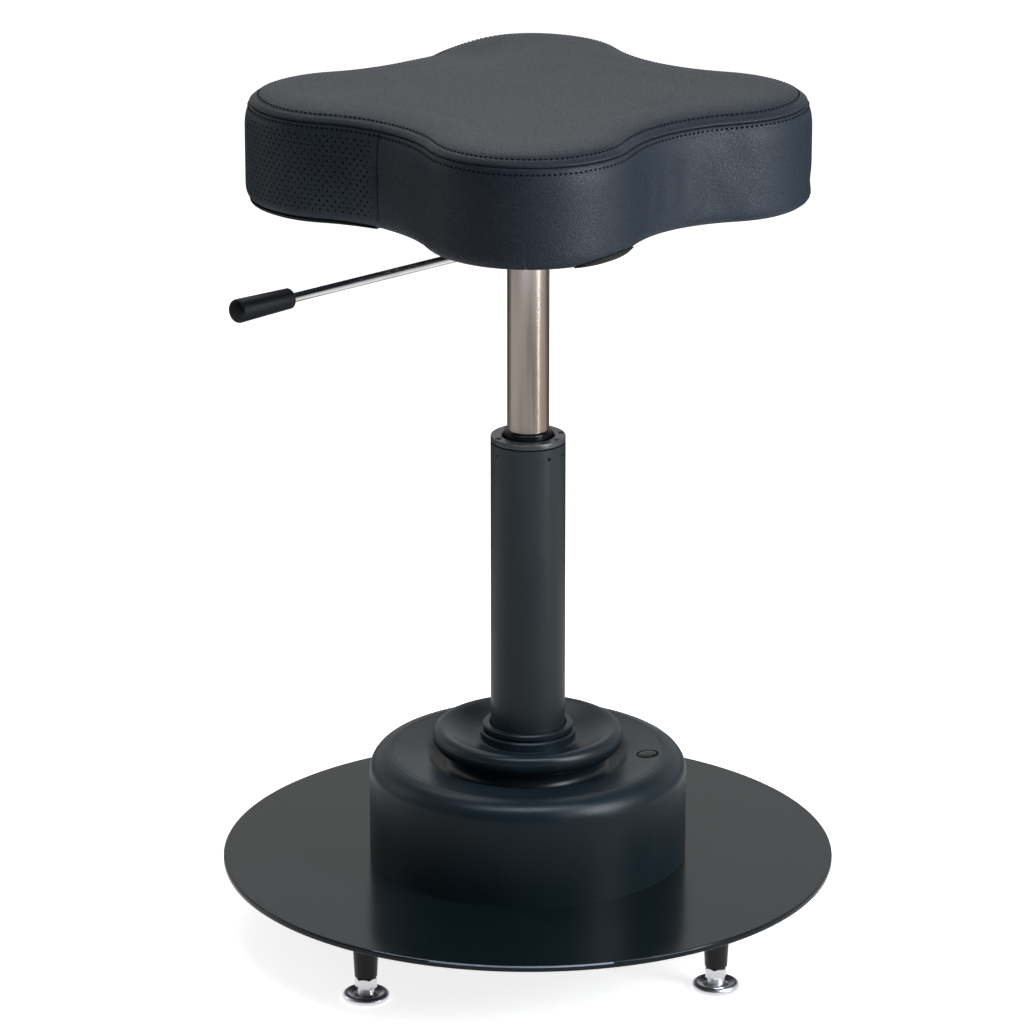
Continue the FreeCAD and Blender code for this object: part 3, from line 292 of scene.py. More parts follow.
PAINT = Texture.PEEL
SLOT_FINISHES: dict[str, Finish] = {
    "base_paint": Finish(
        "disc_paint", (0.0020, 0.0045, 0.0055), (0.0028, 0.0054, 0.0065), (0.16, 0.20),
        PAINT, 0.0012, 0.000006, specular=0.2),
    "foot_sleeve_black": Finish(
        "sleeve_black", (0.007, 0.007, 0.0075), (0.012, 0.012, 0.0125), (0.34, 0.45),
        Texture.TURNED, 0.0008, 0.00001, specular=0.2),
    "foot_chrome": Finish(
        "pad_chrome", (0.70, 0.70, 0.76), (0.80, 0.80, 0.86), (0.24, 0.36),
        Texture.CAST, 0.002, 0.00002, metallic=1.0),
    "zinc": Finish(
        "bright_zinc", (0.60, 0.61, 0.63), (0.73, 0.73, 0.74), (0.22, 0.36),
        Texture.CAST, 0.0012, 0.00001, metallic=1.0),
    "drum_plastic": Finish(
        "drum_moulding", (0.0036, 0.0076, 0.0104), (0.0048, 0.0090, 0.0122), (0.33, 0.40),
        PAINT, 0.0011, 0.000030, specular=0.19),
    "boot_rubber": Finish(
        "bellows_rubber", (0.0036, 0.0072, 0.0102), (0.0050, 0.0090, 0.0122), (0.30, 0.38),
        PAINT, 0.0012, 0.000020, specular=0.22),
    "inner_rubber": Finish(
        "plain_rubber", (0.02, 0.02, 0.02), (0.032, 0.031, 0.03), (0.6, 0.75),
        Texture.CAST, 0.001, 0.00004),
    "bracket_paint": Finish(
        "bracket_paint", (0.010, 0.010, 0.011), (0.016, 0.016, 0.017), (0.42, 0.55),
        PAINT, 0.0009, 0.00003, specular=0.3),
    "cast_fork": Finish(
        "cast_iron", (0.10, 0.10, 0.102), (0.17, 0.165, 0.16), (0.5, 0.7),
        Texture.CAST, 0.0011, 0.00006, metallic=0.6),
    "bearing_steel": Finish(
        "ground_steel", (0.42, 0.42, 0.43), (0.54, 0.54, 0.55), (0.22, 0.34),
        Texture.TURNED, 0.0006, 0.000008, metallic=1.0),
    "bronze": Finish(
        "sintered_bronze", (0.42, 0.29, 0.14), (0.55, 0.40, 0.21), (0.4, 0.55),
        Texture.CAST, 0.0008, 0.00003, metallic=1.0),
    "nylon": Finish(
        "natural_nylon", (0.58, 0.56, 0.50), (0.66, 0.64, 0.58), (0.4, 0.5),
        PAINT, 0.0015, 0.00002),
    "column_paint": Finish(
        "column_paint", (0.0056, 0.0086, 0.0104), (0.0074, 0.0106, 0.0124), (0.35, 0.44),
        PAINT, 0.0012, 0.000035, specular=0.28),
    "bush_plastic": Finish(
        "bush_moulding", (0.016, 0.018, 0.020), (0.026, 0.028, 0.030), (0.26, 0.36),
        PAINT, 0.0008, 0.00002, specular=0.45),
    "lever_chrome": Finish(
        "lever_chrome", (0.70, 0.69, 0.685), (0.80, 0.795, 0.79), (0.05, 0.1),
        Texture.CAST, 0.003, 0.000006, metallic=1.0),
    "rod_chrome": Finish(
        "rod_chrome", (0.70, 0.70, 0.71), (0.78, 0.78, 0.79), (0.06, 0.12),
        Texture.TURNED, 0.0006, 0.000004, metallic=1.0),
    "cylinder_steel": Finish(
        "cylinder_steel", (0.26, 0.21, 0.178), (0.41, 0.35, 0.31), (0.24, 0.32),
        Texture.DRAWN, 0.0009, 0.00002, metallic=0.94),
    "piston_alloy": Finish(
        "piston_alloy", (0.6, 0.6, 0.6), (0.7, 0.7, 0.7), (0.25, 0.35),
        Texture.TURNED, 0.0006, 0.00001, metallic=1.0),
    "grip_plastic": Finish(
        "grip_moulding", (0.0016, 0.0022, 0.0030), (0.0024, 0.0030, 0.0038), (0.40, 0.48),
        PAINT, 0.0009, 0.00001, specular=0.09),
    "foam": Finish(
        "foam", (0.62, 0.55, 0.36), (0.72, 0.66, 0.48), (0.8, 0.95),
        Texture.CAST, 0.0016, 0.0003),
    "plywood": Finish(
        "plywood", (0.36, 0.25, 0.14), (0.55, 0.42, 0.27), (0.6, 0.75),
        Texture.PLY, 0.0013, 0.00005),
    "vinyl": Finish(
        "seat_vinyl", (0.0070, 0.0104, 0.0158), (0.0144, 0.0200, 0.0286), (0.56, 0.42),
        Texture.GRAIN, 0.0013, 0.00009, specular=0.20),
    # A little lighter than the seat vinyl: painted light on the left lobe's perforated panel.
    "vinyl_perforated": Finish(
        "vent_vinyl", (0.0078, 0.0120, 0.0168), (0.0162, 0.0236, 0.0318), (0.56, 0.42),
        Texture.GRAIN, 0.0013, 0.00009, specular=0.22),
    "dust_cloth": Finish(
        "dust_cloth", (0.010, 0.010, 0.011), (0.024, 0.024, 0.025), (0.8, 0.95),
        Texture.FELT, 0.0012, 0.00012, specular=0.2, sheen=0.1),
}
THREAD = Finish(
    "black_thread", (0.0007, 0.0008, 0.001), (0.0018, 0.0018, 0.002), (0.65, 0.8),
    Texture.FELT, 0.0005, 0.00008, specular=0.06)
# Near-black painted shade for the floors of holes, slots and pits, and for gaps between parts.
HOLE_SHADE = Finish(
    "painted_hole_shade", (0.001, 0.001, 0.001), (0.002, 0.002, 0.002), (0.9, 0.95),
    Texture.CAST, 0.0008, 0.00002, specular=0.05)
# Near-black vinyl of the hem strips: painted shade under the cover's lower edge.
HEM_SHADE = Finish(
    "hem_painted_shade", (0.0022, 0.0025, 0.003), (0.0035, 0.0038, 0.0045), (0.45, 0.55),
    Texture.GRAIN, 0.0009, 0.00004, specular=0.15)
# Light bluish colour on the disc's front edge: a painted highlight.
EDGE_HIGHLIGHT = Finish(
    "painted_edge_highlight", (0.075, 0.088, 0.112), (0.150, 0.168, 0.205), (0.3, 0.45),
    PAINT, 0.003, 0.00001)
WIPER = Finish(
    "wiper_rubber", (0.0016, 0.0017, 0.0019), (0.0024, 0.0025, 0.0027), (0.20, 0.28),
    PAINT, 0.0010, 0.00001, specular=0.12)
STAPLE_WIRE = Finish(
    "staple_wire", (0.5, 0.5, 0.51), (0.62, 0.62, 0.62), (0.25, 0.4),
    Texture.CAST, 0.001, 0.00001, metallic=1.0)


class Bench:
    """Modelling by hand, on one object at a time."""

    @staticmethod
    def alone(piece: Piece | None = None) -> None:
        """Deselect everything, then select one piece and make it active."""
        if bpy.context.object and bpy.context.object.mode != "OBJECT":
            bpy.ops.object.mode_set(mode="OBJECT")
        bpy.ops.object.select_all(action="DESELECT")
        if piece:
            piece.select_set(True)
            bpy.context.view_layer.objects.active = piece

    @staticmethod
    def named(name: str, piece: Piece | None = None) -> Piece:
        """A piece, or else the new primitive, under its own name."""
        piece = piece or bpy.context.object
        piece.name = name
        piece.data.name = name
        return piece

    @staticmethod
    def values(piece: Piece, attribute: str) -> list:
        """Values of an attribute of the mesh's corners, in order."""
        return [item.value for item in piece.data.attributes[attribute].data]

    @staticmethod
    def choose(piece: Piece, kind: str, test: Callable[[object], bool]) -> None:
        """Go into edit mode and select what passes a test.

        Args:
            piece: the piece.
            kind: VERT, EDGE or FACE.
            test: whether an element of the mesh is selected.
        """
        Bench.alone(piece)
        bpy.ops.object.mode_set(mode="EDIT")
        bpy.ops.mesh.select_mode(type=kind)
        bpy.ops.mesh.select_all(action="DESELECT")
        mesh = bmesh.from_edit_mesh(piece.data)
        for item in {"VERT": mesh.verts, "EDGE": mesh.edges, "FACE": mesh.faces}[kind]:
            if test(item):
                item.select_set(True)
        mesh.select_flush_mode()
        bmesh.update_edit_mesh(piece.data)

    @staticmethod
    def close() -> None:
        """Point all faces of the piece in edit mode outwards, and leave edit mode."""
        bpy.ops.mesh.select_all(action="SELECT")
        bpy.ops.mesh.normals_make_consistent(inside=False)
        bpy.ops.object.mode_set(mode="OBJECT")

    @staticmethod
    def loop(name: str, places: list[Vector]) -> Piece:
        """Closed loop of edges.

        Args:
            name: the piece's name.
            places: where the loop's corners lie, in order.

        Returns:
            The piece, whose corners carry their number as "column" and 1 as "row".
        """
        Bench.alone()
        count = len(places)
        bpy.ops.mesh.primitive_circle_add(vertices=count, radius=1.0, fill_type="NOTHING")
        piece = Bench.named(name)
        for vertex, place in zip(piece.data.vertices, places):
            vertex.co = place
        for attribute, values in (("column", list(range(count))), ("row", [1] * count)):
            piece.data.attributes.new(attribute, "INT", "POINT").data.foreach_set("value", values)
        bpy.ops.object.mode_set(mode="EDIT")
        bpy.ops.mesh.select_all(action="SELECT")
        return piece

    @staticmethod
    def extrude_loop(piece: Piece, places: list[Vector], row: int) -> None:
        """Extrude the selected loop in edit mode and set the new corners on their places."""
        bpy.ops.mesh.extrude_region_move()
        mesh = bmesh.from_edit_mesh(piece.data)
        columns, rows = mesh.verts.layers.int["column"], mesh.verts.layers.int["row"]
        for vertex in mesh.verts:
            if vertex.select:
                vertex.co = places[vertex[columns]]
                vertex[rows] = row
        bmesh.update_edit_mesh(piece.data)

    @staticmethod
    def fill_in(piece: Piece, edge: list[Vector], scales: tuple[float, ...],
                height: Callable[[float, float], float], row: int) -> None:
        """Carry the selected loop in shrinking rings to the middle of a surface, and close the piece.

        Args:
            piece: the piece, in edit mode.
            edge: the loop's places.
            scales: how far each ring shrinks.
            height: the surface's height at a place.
            row: number of the first ring.
        """
        for number, scale in enumerate(scales, start=row):
            ring = [(scale * place.x, scale * place.y) for place in edge]
            Bench.extrude_loop(piece, [Vector((x, y, height(x, y))) for x, y in ring], number)
        bpy.ops.mesh.extrude_region_move()
        bpy.ops.mesh.merge(type="CENTER")
        Bench.close()

    @staticmethod
    def arc(centre: Point, radius: float, start: float, end: float, count: int) -> list[Point]:
        """Points of an arc in a section, angles in degrees."""
        points = []
        for step in range(count + 1):
            angle = math.radians(start + (end - start) * step / count)
            points.append((centre[0] + radius * math.cos(angle), centre[1] + radius * math.sin(angle)))
        return points

    @staticmethod
    def lathe(name: str, section: list[Point], steps: int) -> Piece:
        """Ring-shaped solid.

        Args:
            name: the piece's name.
            section: closed outline as (radius, height), clear of the axis.
            steps: how many steps the turn has.

        Returns:
            The piece, smooth and with its faces outwards.
        """
        piece = Bench.loop(name, [Vector((radius, 0.0, height)) for radius, height in section])
        bpy.ops.mesh.spin(steps=steps, angle=math.tau, center=(0.0, 0.0, 0.0), axis=(0.0, 0.0, 1.0))
        bpy.ops.mesh.select_all(action="SELECT")
        bpy.ops.mesh.remove_doubles(threshold=0.00001)
        Bench.close()
        Bench.smooth(piece, 40.0)
        return piece

    @staticmethod
    def smooth(piece: Piece, angle: float = 180.0) -> None:
        """Smooth shading across edges that turn by less than an angle in degrees."""
        Bench.alone(piece)
        bpy.ops.object.shade_smooth_by_angle(angle=math.radians(angle))

    @staticmethod
    def apply(piece: Piece, kind: str, **settings: object) -> None:
        """Add a modifier with its settings and apply it."""
        Bench.alone(piece)
        modifier = piece.modifiers.new(kind.title(), kind)
        for name, value in settings.items():
            setattr(modifier, name, value)
        bpy.ops.object.modifier_apply(modifier=modifier.name)

    @staticmethod
    def subdivide(piece: Piece) -> None:
        """One applied step of subdivision surface."""
        Bench.apply(piece, "SUBSURF", levels=1, render_levels=1)

    @staticmethod
    def dress(piece: Piece, *materials: bpy.types.Material) -> None:
        """Give a piece its materials, in the order of its material numbers."""
        while len(piece.data.materials) < len(materials):
            piece.data.materials.append(None)
        for number, material in enumerate(materials):
            piece.data.materials[number] = material

    @staticmethod
    def enlist(piece: Piece, body: str, slot: str, *nodes: str) -> None:
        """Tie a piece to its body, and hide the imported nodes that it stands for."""
        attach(piece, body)
        if nodes:
            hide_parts(*nodes)

    @staticmethod
    def row_of(model: Piece, path: list[Vector], pitch: float) -> None:
        """Repeat a small model along a closed path, at a pitch, as one mesh."""
        curve = bpy.data.curves.new("path", "CURVE")
        curve.dimensions = "3D"
        spline = curve.splines.new("POLY")
        spline.points.add(len(path) - 1)
        for point, place in zip(spline.points, path):
            point.co = (*place, 1.0)
        spline.use_cyclic_u = True
        holder = bpy.data.objects.new("path", curve)
        bpy.context.scene.collection.objects.link(holder)
        length = sum((a - b).length for a, b in zip(path, path[1:] + path[:1]))
        count = round(length / pitch)
        Bench.apply(model, "ARRAY", count=count, use_relative_offset=False, use_constant_offset=True,
                    constant_offset_displace=(length / count, 0.0, 0.0))
        Bench.apply(model, "CURVE", object=holder, deform_axis="POS_X")
        bpy.data.objects.remove(holder)
        bpy.data.curves.remove(curve)


@dataclass
class Clover:
    """Four-lobed outline of the seat, stepped round in columns from the middle of the right lobe."""

    reach: float = 0.185
    lobe: float = 0.070
    notch_inward: float = 0.0202
    lobe_steps: int = 36
    notch_steps: int = 18

    def __post_init__(self) -> None:
        """Work out the circles that the outline is made of."""
        self.lobe_centre = self.reach - self.lobe
        half = self.lobe_centre / math.sqrt(2.0)
        deep = self.notch_inward
        self.notch_centre = (half ** 2 + 2.0 * half * deep - deep ** 2) / (2.0 * deep)
        self.notch = self.notch_centre - (half + self.lobe - deep)
        beside = self.notch_centre / math.sqrt(2.0)
        self.swing = math.atan2(beside, beside - self.lobe_centre)
        self.quarter = self.lobe_steps + self.notch_steps
        self.columns = 4 * self.quarter

    def at(self, column: float, inset: float, height: float) -> Vector:
        """Point of the outline at a column, moved inwards and lifted.

        Args:
            column: place round the outline, in steps.
            inset: how far inside the outline.
            height: the point's height.

        Returns:
            The point.
        """
        shifted = (column + 0.5 * self.lobe_steps) % self.columns
        turn = math.radians(90.0 * (shifted // self.quarter))
        step = shifted % self.quarter
        if step <= self.lobe_steps:
            angle = turn + self.swing * (2.0 * step / self.lobe_steps - 1.0)
            out, radius, centre = turn, self.lobe - inset, self.lobe_centre
        else:
            share = (step - self.lobe_steps) / self.notch_steps
            angle = turn + math.pi + self.swing + share * (0.5 * math.pi - 2.0 * self.swing)
            out, radius, centre = turn + math.radians(45.0), self.notch + inset, self.notch_centre
        x = centre * math.cos(out) + radius * math.cos(angle)
        y = centre * math.sin(out) + radius * math.sin(angle)
        return Vector((x, y, height))

    def ring(self, columns: list[float], inset: float, height: float) -> list[Vector]:
        """The outline's points at some columns."""
        return [self.at(column, inset, height) for column in columns]

    def depth(self, x: float, y: float) -> float:
        """How far a point inside the outline lies from it."""
        across, beside = max(abs(x), abs(y)), min(abs(x), abs(y))
        notch = self.notch_centre / math.sqrt(2.0)
        to_notch = math.hypot(notch - across, notch - beside) - self.notch
        if math.atan2(beside, across - self.lobe_centre) < self.swing:
            return min(to_notch, self.lobe - math.hypot(across - self.lobe_centre, beside))
        return to_notch


@dataclass(frozen=True)
class Dent:
    """A place on the seat's side that is pushed in, or out where its depth is negative."""

    column: float
    columns: float
    height: float
    span: float
    depth: float

    def push(self, column: float, height: float, count: int) -> float:
        """How far in the dent pushes a point at a column and height, on an outline of so many columns."""
        off = (column - self.column + 0.5 * count) % count - 0.5 * count
        share = (off / self.columns) ** 2 + ((height - self.height) / self.span) ** 2
        return self.depth * math.exp(-share)


@dataclass(frozen=True)
class HemStrip:
    """Turned-up stretch of the cover's lower edge, near-black as painted shade: its columns, and how far it
    rises and hangs.
    """

    name: str
    first: float
    last: float
    rise: float
    drop: float


@dataclass
class Seat:
    """Sewn cushion: top panel, plain side band, perforated side panel, stitching and turned-up hem."""

    groups: TextureGroups
    outline: Clover = field(default_factory=Clover)
    bottom: float = 0.5158
    edge_round: float = 0.0075
    edge_angles: tuple[float, ...] = (0.0, 30.0, 60.0, 90.0)
    hem_insets: tuple[float, ...] = (0.0335, 0.026, 0.019, 0.013)
    side_steps: int = 8
    seam_z: float = 0.5822
    seam_inset: float = 0.0030
    seam_lap: float = 0.0012
    shoulder: float = 0.012
    crease_inset: float = 0.0042
    crease_rise: float = 0.0001
    lip_inset: float = 0.0029
    lip_z: float = 0.5836
    lip_roll: Point = (0.0006, 0.0010)
    lip_steps: tuple[float, ...] = (0.0, 0.0010, 0.0022)
    top_insets: tuple[float, ...] = (0.0115, 0.0150, 0.0195, 0.025, 0.031, 0.038)
    top_rise: float = 0.0083
    top_inward: float = 0.048
    top_power: float = 6.0
    crown: float = 0.0008
    crown_reach: float = 0.130
    inner_scales: tuple[float, ...] = (0.94, 0.86, 0.76, 0.64, 0.5, 0.36, 0.22, 0.1)
    top_stitch_inset: float = 0.0075
    top_stitch_rise: float = 0.0038
    band_stitch_drop: float = 0.0037
    groove_width: float = 0.0012
    groove_depth: float = 0.0007
    stitch_pitch: float = 0.0035
    stitch_length: float = 0.0026
    stitch_radius: float = 0.00080
    thread_sink: float = 0.00030
    path_steps: int = 3
    seams: tuple[float, float] = (82.0, 134.0)
    seam_depth: float = 0.0011
    tuck: float = 161.6
    close_steps: tuple[float, ...] = (-0.5, -0.2, -0.08, 0.0, 0.08, 0.2, 0.5)
    pucker: float = 0.0004
    pucker_rows: float = 4.0
    pucker_scale: tuple[float, float] = (0.9, 0.7)
    pucker_seed: float = 3.0
    lean: float = 0.0158
    side_drop: float = 0.0052
    hollow: Point = (-0.042, 0.120)
    hollow_spread: Point = (0.024, 0.045)
    right_drop: float = 0.0020
    right_from: float = 0.08
    right_over: float = 0.08
    vinyl: float = 0.0010
    held_rows: int = 5
    swell_cap: float = 0.0022
    pressure: float = 4.0
    stiffness: float = 40.0
    frames: int = 20
    hole_spacing: float = 0.0029
    hole_width: float = 0.0013
    hole_depth: float = 0.0008
    hole_inset: float = 0.0007
    hole_edge: float = 0.00012
    hole_margin: float = 0.6
    hole_window: float = 0.2
    strips: tuple[HemStrip, ...] = (HemStrip("hem_left", 101.0, 133.0, 0.0, 0.0016),
                                    HemStrip("hem_front", 168.6, 181.2, 0.0042, 0.0005))
    strip_steps: int = 24
    strip_taper: float = 0.02
    strip_power: float = 0.7
    strip_proud: float = 0.0004
    strip_wall: float = 0.0008
    strip_lap: float = 0.0012
    strip_inner: float = 0.0040
    strip_mid: float = 0.0022
    strip_corner: Point = (0.0028, 0.0010)
    strip_under: float = 0.0060
    strip_depth: float = 0.0105

    def side_inset(self, height: float) -> float:
        """Inset of the side at a height, drawn in over the shoulder towards the seam."""
        share = max(0.0, (height - self.seam_z + self.shoulder) / self.shoulder)
        return self.seam_inset * share ** 2

    def edge_share(self, depth: float) -> float:
        """How far across the top's rolled edge a depth inside the outline lies, from 0 to 1."""
        return min(1.0, max(0.0, (depth - self.lip_inset) / self.top_inward))

    def edge_z(self, share: float) -> float:
        """Height of the top at a share of its rolled edge."""
        return self.lip_z + self.top_rise * (1.0 - (1.0 - share) ** self.top_power)

    def top_z(self, x: float, y: float) -> float:
        """Height of the top at a place."""
        share = self.edge_share(self.outline.depth(x, y))
        middle = max(0.0, 1.0 - (x * x + y * y) / self.crown_reach ** 2)
        return self.edge_z(share) + self.crown * middle * share

    def places(self) -> list[float]:
        """Columns of the mesh: even steps, closer together at the upright seams and at the front tuck."""
        steps = {float(column) for column in range(self.outline.columns)}
        for seam in (*self.seams, self.tuck):
            steps |= {seam + offset for offset in self.close_steps}
        return sorted(steps)

    def profile(self) -> list[Point]:
        """Rows of the cover from the hem under the seat to the edge of the top, as (inset, height)."""
        rows = [(inset, self.bottom) for inset in self.hem_insets]
        for angle in self.edge_angles:
            turn = math.radians(angle)
            rows.append((self.edge_round * (1.0 - math.sin(turn)),
                         self.bottom + self.edge_round * (1.0 - math.cos(turn))))
        stitch_z, beside = self.seam_z - self.band_stitch_drop, self.groove_width
        low, high = self.bottom + self.edge_round, stitch_z - beside
        heights = [low + (high - low) * step / self.side_steps for step in range(1, self.side_steps + 1)]
        heights += [stitch_z, stitch_z + beside, self.seam_z - self.seam_lap]
        self.first_hole_row, self.last_hole_row = len(rows), len(rows) + self.side_steps
        self.band_stitch_row = self.last_hole_row + 1
        rows += [(self.side_inset(height), height) for height in heights]
        rows.append((self.seam_inset, self.seam_z))
        self.crease_row = len(rows) + 1
        rows.append((self.crease_inset, self.seam_z + self.crease_rise))
        rows.append((self.lip_inset + self.lip_roll[0], self.lip_z - self.lip_roll[1]))
        insets = [self.lip_inset + step for step in self.lip_steps]
        self.top_stitch_row = len(rows) + len(insets) + 2
        insets += [self.top_stitch_inset - beside, self.top_stitch_inset, self.top_stitch_inset + beside]
        insets += self.top_insets
        return rows + [(inset, self.edge_z(self.edge_share(inset))) for inset in insets]

    def blank(self) -> Piece:
        """Edge of the cover before it is filled: rows of the profile round the outline."""
        rows, columns = self.profile(), self.places()
        piece = Bench.loop("seat_cover", self.outline.ring(columns, *rows[0]))
        for number, row in enumerate(rows[1:], start=2):
            Bench.extrude_loop(piece, self.outline.ring(columns, *row), number)
        Bench.close()
        return piece

    def close_top(self, piece: Piece) -> None:
        """Carry the cover's edge on to the middle of the top, in rings that shrink."""
        rows, numbers = self.profile(), Bench.values(piece, "row")
        Bench.choose(piece, "VERT", lambda vertex: numbers[vertex.index] == len(rows))
        edge = self.outline.ring(self.places(), rows[-1][0], 0.0)
        Bench.fill_in(piece, edge, self.inner_scales, self.top_z, len(rows) + 1)

    def fill(self, piece: Piece) -> None:
        """Blow the cover up as cloth, held at the seam, the stitching and the hem, and cap its movement."""
        rest = [vertex.co.copy() for vertex in piece.data.vertices]
        rows = Bench.values(piece, "row")
        held = {*range(1, self.held_rows + 1), self.crease_row - 1, self.crease_row, self.crease_row + 1,
                self.band_stitch_row, self.top_stitch_row, max(rows)}
        pins = piece.vertex_groups.new(name="held")
        pins.add([index for index, row in enumerate(rows) if row in held], 1.0, "REPLACE")
        cloth = piece.modifiers.new("Cloth", "CLOTH")
        cloth.settings.quality = 3
        cloth.settings.use_pressure = True
        cloth.settings.uniform_pressure_force = self.pressure
        cloth.settings.tension_stiffness = self.stiffness
        cloth.settings.compression_stiffness = self.stiffness
        cloth.settings.shear_stiffness = self.stiffness
        cloth.settings.vertex_group_mass = pins.name
        cloth.settings.effector_weights.gravity = 0.0
        cloth.point_cache.frame_end = self.frames
        scene = bpy.context.scene
        for frame in range(1, self.frames + 1):
            scene.frame_set(frame)
        Bench.alone(piece)
        bpy.ops.object.modifier_apply(modifier=cloth.name)
        scene.frame_set(1)
        moves = [(vertex.co - start).length for vertex, start in zip(piece.data.vertices, rest)]
        LOG.info("cover swelled by up to %.2f mm", 1000.0 * max(moves))
        for vertex, start, move in zip(piece.data.vertices, rest, moves):
            if move > 0.0:
                eased = self.swell_cap * math.tanh(move / self.swell_cap)
                vertex.co = start + (vertex.co - start) * (eased / move)

    def dents(self) -> list[Dent]:
        """Soft unevenness of the sides: upright seams, front tuck and the pull of the board's edge."""
        right = 0.0
        return [
            *(Dent(seam, 0.07, 0.556, 0.034, self.seam_depth) for seam in self.seams),
            *(Dent(seam, 1.2, 0.550, 0.060, 0.0006) for seam in self.seams),
            Dent(self.tuck, 0.09, 0.5175, 0.0040, 0.0008),
            Dent(self.tuck, 1.0, 0.5175, 0.0040, 0.0004),
            Dent(right, 11.0, 0.5290, 0.0050, 0.0014),
            Dent(right, 11.0, 0.5190, 0.0045, -0.0008),
        ]

    def settle(self, place: Vector) -> float:
        """How far a point of the cover sags: the top towards the back, and the right lobe's lower edge."""
        up = (place.z - self.bottom) / (self.seam_z - self.bottom)
        back = self.lean * (place.y + self.outline.reach)
        beside = min(1.0, max(0.0, (place.x - self.right_from) / self.right_over))
        off = ((place.x - self.hollow[0]) / self.hollow_spread[0]) ** 2
        off += ((place.y - self.hollow[1]) / self.hollow_spread[1]) ** 2
        return up * (back + self.side_drop * math.exp(-off)) + (1.0 - min(1.0, up)) * self.right_drop * beside

    def sculpt(self, piece: Piece) -> None:
        """Push in the dents, draw in the stitching, and let the cover sag and pucker."""
        dents, places = self.dents(), self.places()
        rows = Bench.values(piece, "row")
        columns = [places[number] for number in Bench.values(piece, "column")]
        across, along = self.pucker_scale
        for vertex, row, column in zip(piece.data.vertices, rows, columns):
            inward = self.outline.at(column, 0.001, 0.0) - self.outline.at(column, 0.0, 0.0)
            inward.normalize()
            if row < self.crease_row:
                push = sum(dent.push(column, vertex.co.z, self.outline.columns) for dent in dents)
                vertex.co += push * inward
            near = math.exp(-((row - self.crease_row) / self.pucker_rows) ** 2)
            crumple = noise.noise((across * column, along * row, self.pucker_seed))
            vertex.co += self.pucker * near * crumple * inward
            if row == self.band_stitch_row:
                vertex.co += self.groove_depth * inward
            if row == self.top_stitch_row:
                vertex.co.z -= self.groove_depth
            vertex.co.z -= self.settle(vertex.co)

    @staticmethod
    def part(piece: Piece, name: str, keep: Callable[[list[int], list[int]], bool]) -> Piece:
        """Separate the faces that a test keeps from the cover.

        Args:
            piece: the cover.
            name: the new piece's name.
            keep: test of a face's corner rows and columns.

        Returns:
            The new piece.
        """
        rows, columns = Bench.values(piece, "row"), Bench.values(piece, "column")
        Bench.choose(piece, "FACE", lambda face: keep([rows[v.index] for v in face.verts],
                                                      [columns[v.index] for v in face.verts]))
        before = set(bpy.context.scene.objects)
        bpy.ops.mesh.separate(type="SELECTED")
        bpy.ops.object.mode_set(mode="OBJECT")
        return Bench.named(name, next(item for item in bpy.context.scene.objects if item not in before))

    def perforate(self, piece: Piece) -> None:
        """Punch staggered holes into the outer faces of the perforated panel."""
        first, last = self.seams
        across, up = Bench.values(piece, "across"), Bench.values(piece, "up")
        lobe = Vector((-self.outline.lobe_centre, 0.0, 0.0))
        chosen = set()
        for face in piece.data.polygons:
            column = sum(across[v] for v in face.vertices) / len(face.vertices)
            row = sum(up[v] for v in face.vertices) / len(face.vertices)
            step, line = math.floor(2.0 * (column - first)), math.floor(2.0 * row)
            between = first + self.hole_margin < column < last - self.hole_margin
            upright = self.first_hole_row < row < self.last_hole_row
            middle = abs(2.0 * row - line - 0.5) < self.hole_window
            centre = Vector((face.center.x, face.center.y, 0.0))
            outwards = face.normal.dot(centre - lobe) > 0.0
            whole = face.area > 0.5 * self.hole_spacing ** 2
            if between and upright and middle and whole and (step + line) % 2 == 0 and outwards:
                chosen.add(face.index)
        Bench.choose(piece, "FACE", lambda face: face.index in chosen)
        bpy.ops.mesh.inset(thickness=self.hole_inset, use_individual=True, use_even_offset=True)
        mesh = bmesh.from_edit_mesh(piece.data)
        for face in mesh.faces:
            # Hole faces take the second material, near-black painted shade.
            face.material_index = int(face.select)
            if face.select:
                centre = face.calc_center_median()
                for vertex in face.verts:
                    vertex.co.z = centre.z + 0.5 * math.copysign(self.hole_width, vertex.co.z - centre.z)
        bmesh.update_edit_mesh(piece.data)
        bpy.ops.mesh.inset(thickness=self.hole_edge, depth=-self.hole_depth, use_individual=True)
        bpy.ops.object.mode_set(mode="OBJECT")
        LOG.info("%d holes in the side panel", len(chosen))

    def thread(self, name: str, path: list[Vector]) -> None:
        """Row of stitches along a path."""
        Bench.alone()
        bpy.ops.mesh.primitive_uv_sphere_add(segments=6, ring_count=4, radius=self.stitch_radius)
        stitch = Bench.named(name)
        bpy.ops.object.mode_set(mode="EDIT")
        bpy.ops.mesh.select_all(action="SELECT")
        stretch = 0.5 * self.stitch_length / self.stitch_radius
        bpy.ops.transform.resize(value=(stretch, 1.0, 1.0))
        bpy.ops.object.mode_set(mode="OBJECT")
        Bench.row_of(stitch, path, self.stitch_pitch)
        Bench.smooth(stitch)
        Bench.dress(stitch, THREAD.material(self.groups))
        Bench.enlist(stitch, "seat", "vinyl")

